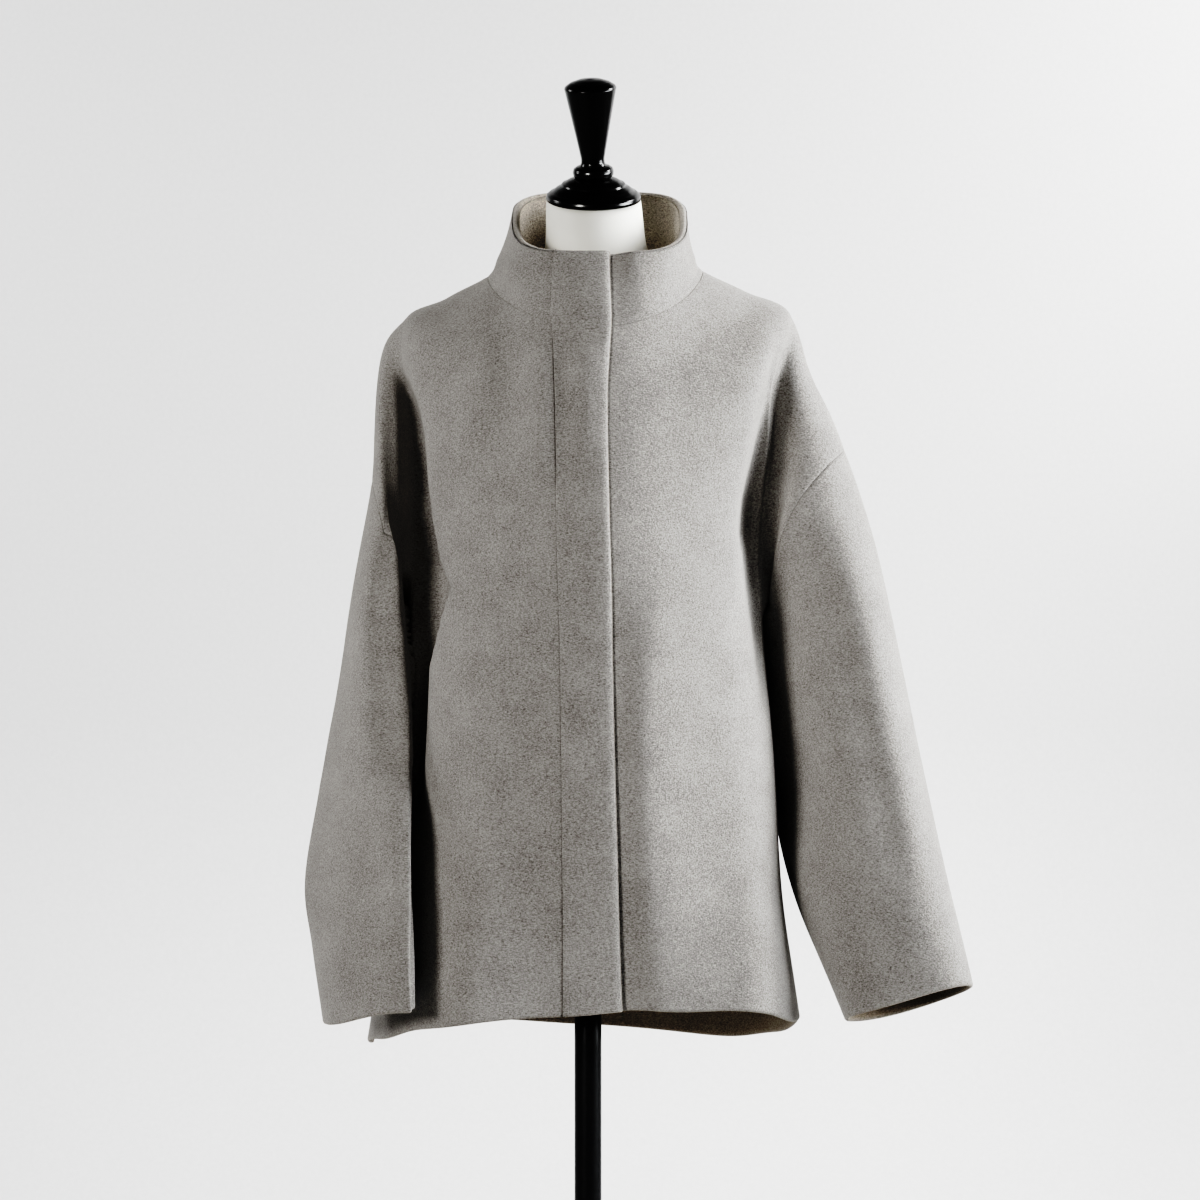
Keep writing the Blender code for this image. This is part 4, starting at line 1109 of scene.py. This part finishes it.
class BLOUSON_OT_sleeves(bpy.types.Operator):
    """Wide sleeves hanging from the dropped armholes"""

    bl_idname = "blouson.sleeves"
    bl_label = "Sleeves"

    def execute(self, context):
        grid = coat()
        wall = context.scene.blouson_cloth.wall / MM
        for k, side in enumerate(("right", "left")):
            points, faces, depth = rounded_wall(grid, grid.sleeve_part(side), wall, -grid.dip,
                                                grid.free_edges(), inner_lift=-grid.hem)
            piece = new_piece("coat_sleeve_" + side, points, faces,
                              wool_material("wool_sleeve_" + side, 1.9 + k), ["sleeve_" + side],
                              depth)
        return {"FINISHED"}


class BLOUSON_OT_collar(bpy.types.Operator):
    """Doubled funnel collar with the facing's line inside its rim"""

    bl_idname = "blouson.collar"
    bl_label = "Collar"

    def execute(self, context):
        cloth = context.scene.blouson_cloth
        grid = coat()
        neck, line = grid.row[NECK_ROW], grid.line
        columns = list(range(line["seam"] + FINE, grid.columns)) + list(range(0, line["seam"]))
        below = -grid.underlap(cloth.underlap / MM)
        free = grid.free_edges()
        free[grid.index[:, line["seam"] + FINE]] = True
        from_rim = near_line(grid.points, grid.points[grid.index[-1]])
        line_depth, line_at, line_width = FACING_LINE
        fold = -line_depth * np.exp(-((from_rim - line_at) / line_width) ** 2)
        fold = fold - RIM_ROLL[0] * np.exp(-(from_rim / RIM_ROLL[1]) ** 2)
        points, faces, depth = rounded_wall(
            grid, grid.body_part((neck, grid.rows - 1), columns), cloth.collar_wall / MM,
            below - grid.dip, free, rim_steps=6, inner_lift=fold)
        # The collar's inner side gets painted light from its paler tint
        wool = wool_material("wool_collar", 4.1, cloth.collar_inside_painted_light)
        piece = new_piece("coat_collar", points, faces, wool, ["collar"], depth)
        return {"FINISHED"}


class BLOUSON_OT_band(bpy.types.Operator):
    """Covered front band from the collar's rim to the hem"""

    bl_idname = "blouson.band"
    bl_label = "Front band"

    def execute(self, context):
        cloth = context.scene.blouson_cloth
        grid = coat()
        line = grid.line
        free = grid.free_edges()
        free[grid.index[:, line["edge"]]] = True
        cells = grid.body_part((0, grid.rows - 1), list(range(line["seam"], line["edge"])))
        from_edge = near_line(grid.points, grid.points[grid.index[:, line["edge"]]])
        roll = BAND_ROLL[1] * (1 - np.sqrt(1 - np.clip(1 - from_edge / BAND_ROLL[0], 0, 1) ** 2))
        points, faces, depth = rounded_wall(
            grid, cells, cloth.band_wall / MM, cloth.band_proud / MM - grid.dip - roll, free, rim_steps=6,
            inner_lift=roll)
        piece = new_piece("coat_front_band", points, faces, wool_material("wool_band", 5.3),
                          ["front_band"], depth)
        return {"FINISHED"}


class BLOUSON_OT_form(bpy.types.Operator):
    """Smooth limbless form under the coat"""

    bl_idname = "blouson.form"
    bl_label = "Dress form"

    def execute(self, context):
        columns = table(RING_COLUMNS, FORM_RINGS)
        at = places(FORM_STEPS)
        values = {name: spline(column, at) for name, column in columns.items()}
        rows = []
        for k in range(len(at)):
            p, run = dense_ring({n: v[k] for n, v in values.items()})
            even = np.linspace(0, run[-1], FORM_COLUMNS, endpoint=False)
            rows.append(np.stack([np.interp(even, run, p[:, j]) for j in range(3)], 1))
        rows = np.stack(rows)
        points, faces = closed_rings(rows, rows[0].mean(axis=0), rows[-1].mean(axis=0))
        new_piece("dress_form", points * MM, faces, cover_material(), ["form_torso"])
        return {"FINISHED"}


class BLOUSON_OT_turnings(bpy.types.Operator):
    """Lacquered neck cap and handle"""

    bl_idname = "blouson.turnings"
    bl_label = "Neck cap and handle"

    def execute(self, context):
        colour = context.scene.blouson_stand.lacquer
        for name, profile, place in (("neck_cap", CAP_PROFILE, tilted), ("finial", FINIAL_PROFILE, leaned)):
            points, faces = turned(profile, 4)
            new_piece("turned_" + name, place(points) * MM, faces,
                      gloss_material("lacquer_" + name, colour, 0.22, 0.45, 40.0), [name])
        return {"FINISHED"}


class BLOUSON_OT_stand(bpy.types.Operator):
    """Pole and round foot"""

    bl_idname = "blouson.stand"
    bl_label = "Stand"

    def execute(self, context):
        colour = context.scene.blouson_stand.paint
        pole = ((0, HUB_TOP), (POLE_RADIUS, HUB_TOP), (POLE_RADIUS, FORM_BOTTOM), (0, FORM_BOTTOM))
        for name, profile, slot, rough in (("stand_pole", pole, "pole_paint", 0.32),
                                           ("stand_base", FOOT_PROFILE, "base_paint", 0.45)):
            points, faces = turned(profile, 6)
            new_piece("painted_" + name, points * MM, faces,
                      gloss_material(slot, colour, rough, 0.25, 300.0), [name])
        return {"FINISHED"}


def lay_backdrop(scene, floor):
    """Sheet of paper that runs along the floor, bends up in a quarter circle and rises as a wall."""
    run = np.linspace(0, 1, PAPER_STEPS[0])
    bend = np.clip((run - FLOOR_SHARE) / BEND_SHARE, 0, 1) * math.pi / 2
    flat = PAPER_NEAR + run / FLOOR_SHARE * PAPER_FLOOR
    y = np.where(run < FLOOR_SHARE, flat, PAPER_NEAR + PAPER_FLOOR + PAPER_BEND * np.sin(bend))
    z = PAPER_BEND * (1 - np.cos(bend)) + np.clip(run - FLOOR_SHARE - BEND_SHARE, 0, None) * PAPER_RISE
    x = np.linspace(-PAPER_HALF, PAPER_HALF, PAPER_STEPS[1])
    points = np.stack(np.broadcast_arrays(x[None], y[:, None], z[:, None]), 2).reshape(-1, 3)
    index = np.arange(len(points)).reshape(PAPER_STEPS)
    faces = np.stack([index[:-1, :-1], index[:-1, 1:], index[1:, 1:], index[1:, :-1]], -1).reshape(-1, 4)
    mesh = bpy.data.meshes.new("backdrop")
    mesh.from_pydata(points.tolist(), [], faces.tolist())
    mesh.shade_smooth()
    paper, add, shader, links, place = new_material("backdrop_paper")
    grain = add("ShaderNodeTexNoise", [("Vector", place)], Scale=150.0, Detail=3.0)
    tone = add("ShaderNodeValToRGB", [("Fac", grain.outputs["Fac"])])
    tone.color_ramp.elements[0].color = (*(Vector(floor) * 0.95), 1)
    tone.color_ramp.elements[1].color = (*(Vector(floor) * 1.05), 1)
    links.new(tone.outputs["Color"], shader.inputs["Base Color"])
    shader.inputs["Roughness"].default_value = 0.95
    # The paper is clear from its rear, so that the coat's back can be looked at through it
    rear = add("ShaderNodeNewGeometry").outputs["Backfacing"]
    clear = add("ShaderNodeBsdfTransparent").outputs["BSDF"]
    either = add("ShaderNodeMixShader", [("Fac", rear), (1, shader.outputs["BSDF"]), (2, clear)])
    links.new(either.outputs["Shader"], paper.node_tree.nodes["Material Output"].inputs["Surface"])
    mesh.materials.append(paper)
    drop = bpy.data.objects.new("backdrop", mesh)
    scene.collection.objects.link(drop)


def hang_lamps(scene, powers):
    """Soft rectangular lamps, each turned to its aim."""
    for name, place, aim, size, spread, setting, share, tint in LAMPS:
        lamp = bpy.data.lights.new(name, "AREA")
        lamp.shape = "RECTANGLE"
        lamp.size, lamp.size_y = size
        lamp.spread = math.radians(spread)
        lamp.energy = share * powers[setting]
        lamp.color = tint
        thing = bpy.data.objects.new(name, lamp)
        thing.location = place
        thing.rotation_euler = (Vector(aim) - Vector(place)).to_track_quat("-Z", "Y").to_euler()
        scene.collection.objects.link(thing)


def set_tone(scene):
    """Print's tone curve, and a faint even light from all round."""
    view = scene.view_settings
    view.view_transform = "Standard"
    view.use_curve_mapping = True
    view.curve_mapping.white_level = (2, 2, 2)
    curve = view.curve_mapping.curves[3]
    curve.points[1].location = TONE[-1]
    for place in TONE[:-1]:
        curve.points.new(*place)
    view.curve_mapping.update()
    world = bpy.data.worlds.new("studio")
    world.use_nodes = True
    back = world.node_tree.nodes["Background"]
    back.inputs["Color"].default_value = (1, 1, 1, 1)
    back.inputs["Strength"].default_value = WORLD_LIGHT
    scene.world = world


def place_camera(scene):
    """Camera before the coat at the photo's angle."""
    lens = bpy.data.cameras.new("camera")
    lens.sensor_width = SENSOR
    lens.lens = LENS
    camera = bpy.data.objects.new("camera", lens)
    camera.location = CAMERA_PLACE
    camera.rotation_euler = (Vector(CAMERA_AIM) - camera.location).to_track_quat("-Z", "Y").to_euler()
    scene.collection.objects.link(camera)
    scene.camera = camera


class BLOUSON_OT_stage(bpy.types.Operator):
    """Pale floor and backdrop, soft light from the right, camera"""

    bl_idname = "blouson.stage"
    bl_label = "Studio"

    def execute(self, context):
        scene = context.scene
        stage = scene.blouson_stage
        lay_backdrop(scene, stage.floor)
        hang_lamps(scene, {"key": stage.key, "fill": stage.fill, "wash": stage.wash})
        set_tone(scene)
        place_camera(scene)
        return {"FINISHED"}


class BLOUSON_PT_panel(bpy.types.Panel):
    """Steps of the blouson in order"""

    bl_idname = "BLOUSON_PT_panel"
    bl_label = "Blouson"
    bl_space_type = "VIEW_3D"
    bl_region_type = "UI"
    bl_category = "Blouson"

    def draw(self, context):
        for operator in OPERATORS:
            self.layout.operator(operator.bl_idname)


GROUPS = {"blouson_cloth": BlousonCloth, "blouson_stand": BlousonStand, "blouson_stage": BlousonStage}
OPERATORS = (
    BLOUSON_OT_form, BLOUSON_OT_turnings, BLOUSON_OT_stand, BLOUSON_OT_body, BLOUSON_OT_sleeves,
    BLOUSON_OT_collar, BLOUSON_OT_band, BLOUSON_OT_stage,
)
CLASSES = (*GROUPS.values(), *OPERATORS, BLOUSON_PT_panel)


def register():
    for cls in CLASSES:
        bpy.utils.register_class(cls)
    for name, cls in GROUPS.items():
        setattr(bpy.types.Scene, name, bpy.props.PointerProperty(type=cls))


def unregister():
    for name in GROUPS:
        delattr(bpy.types.Scene, name)
    for cls in reversed(CLASSES):
        bpy.utils.unregister_class(cls)


def main():
    register()
    bpy.ops.blouson.form()
    bpy.ops.blouson.turnings()
    bpy.ops.blouson.stand()
    bpy.ops.blouson.body()
    bpy.ops.blouson.sleeves()
    bpy.ops.blouson.collar()
    bpy.ops.blouson.band()
    bpy.ops.blouson.stage()


if __name__ == "__main__":
    main()
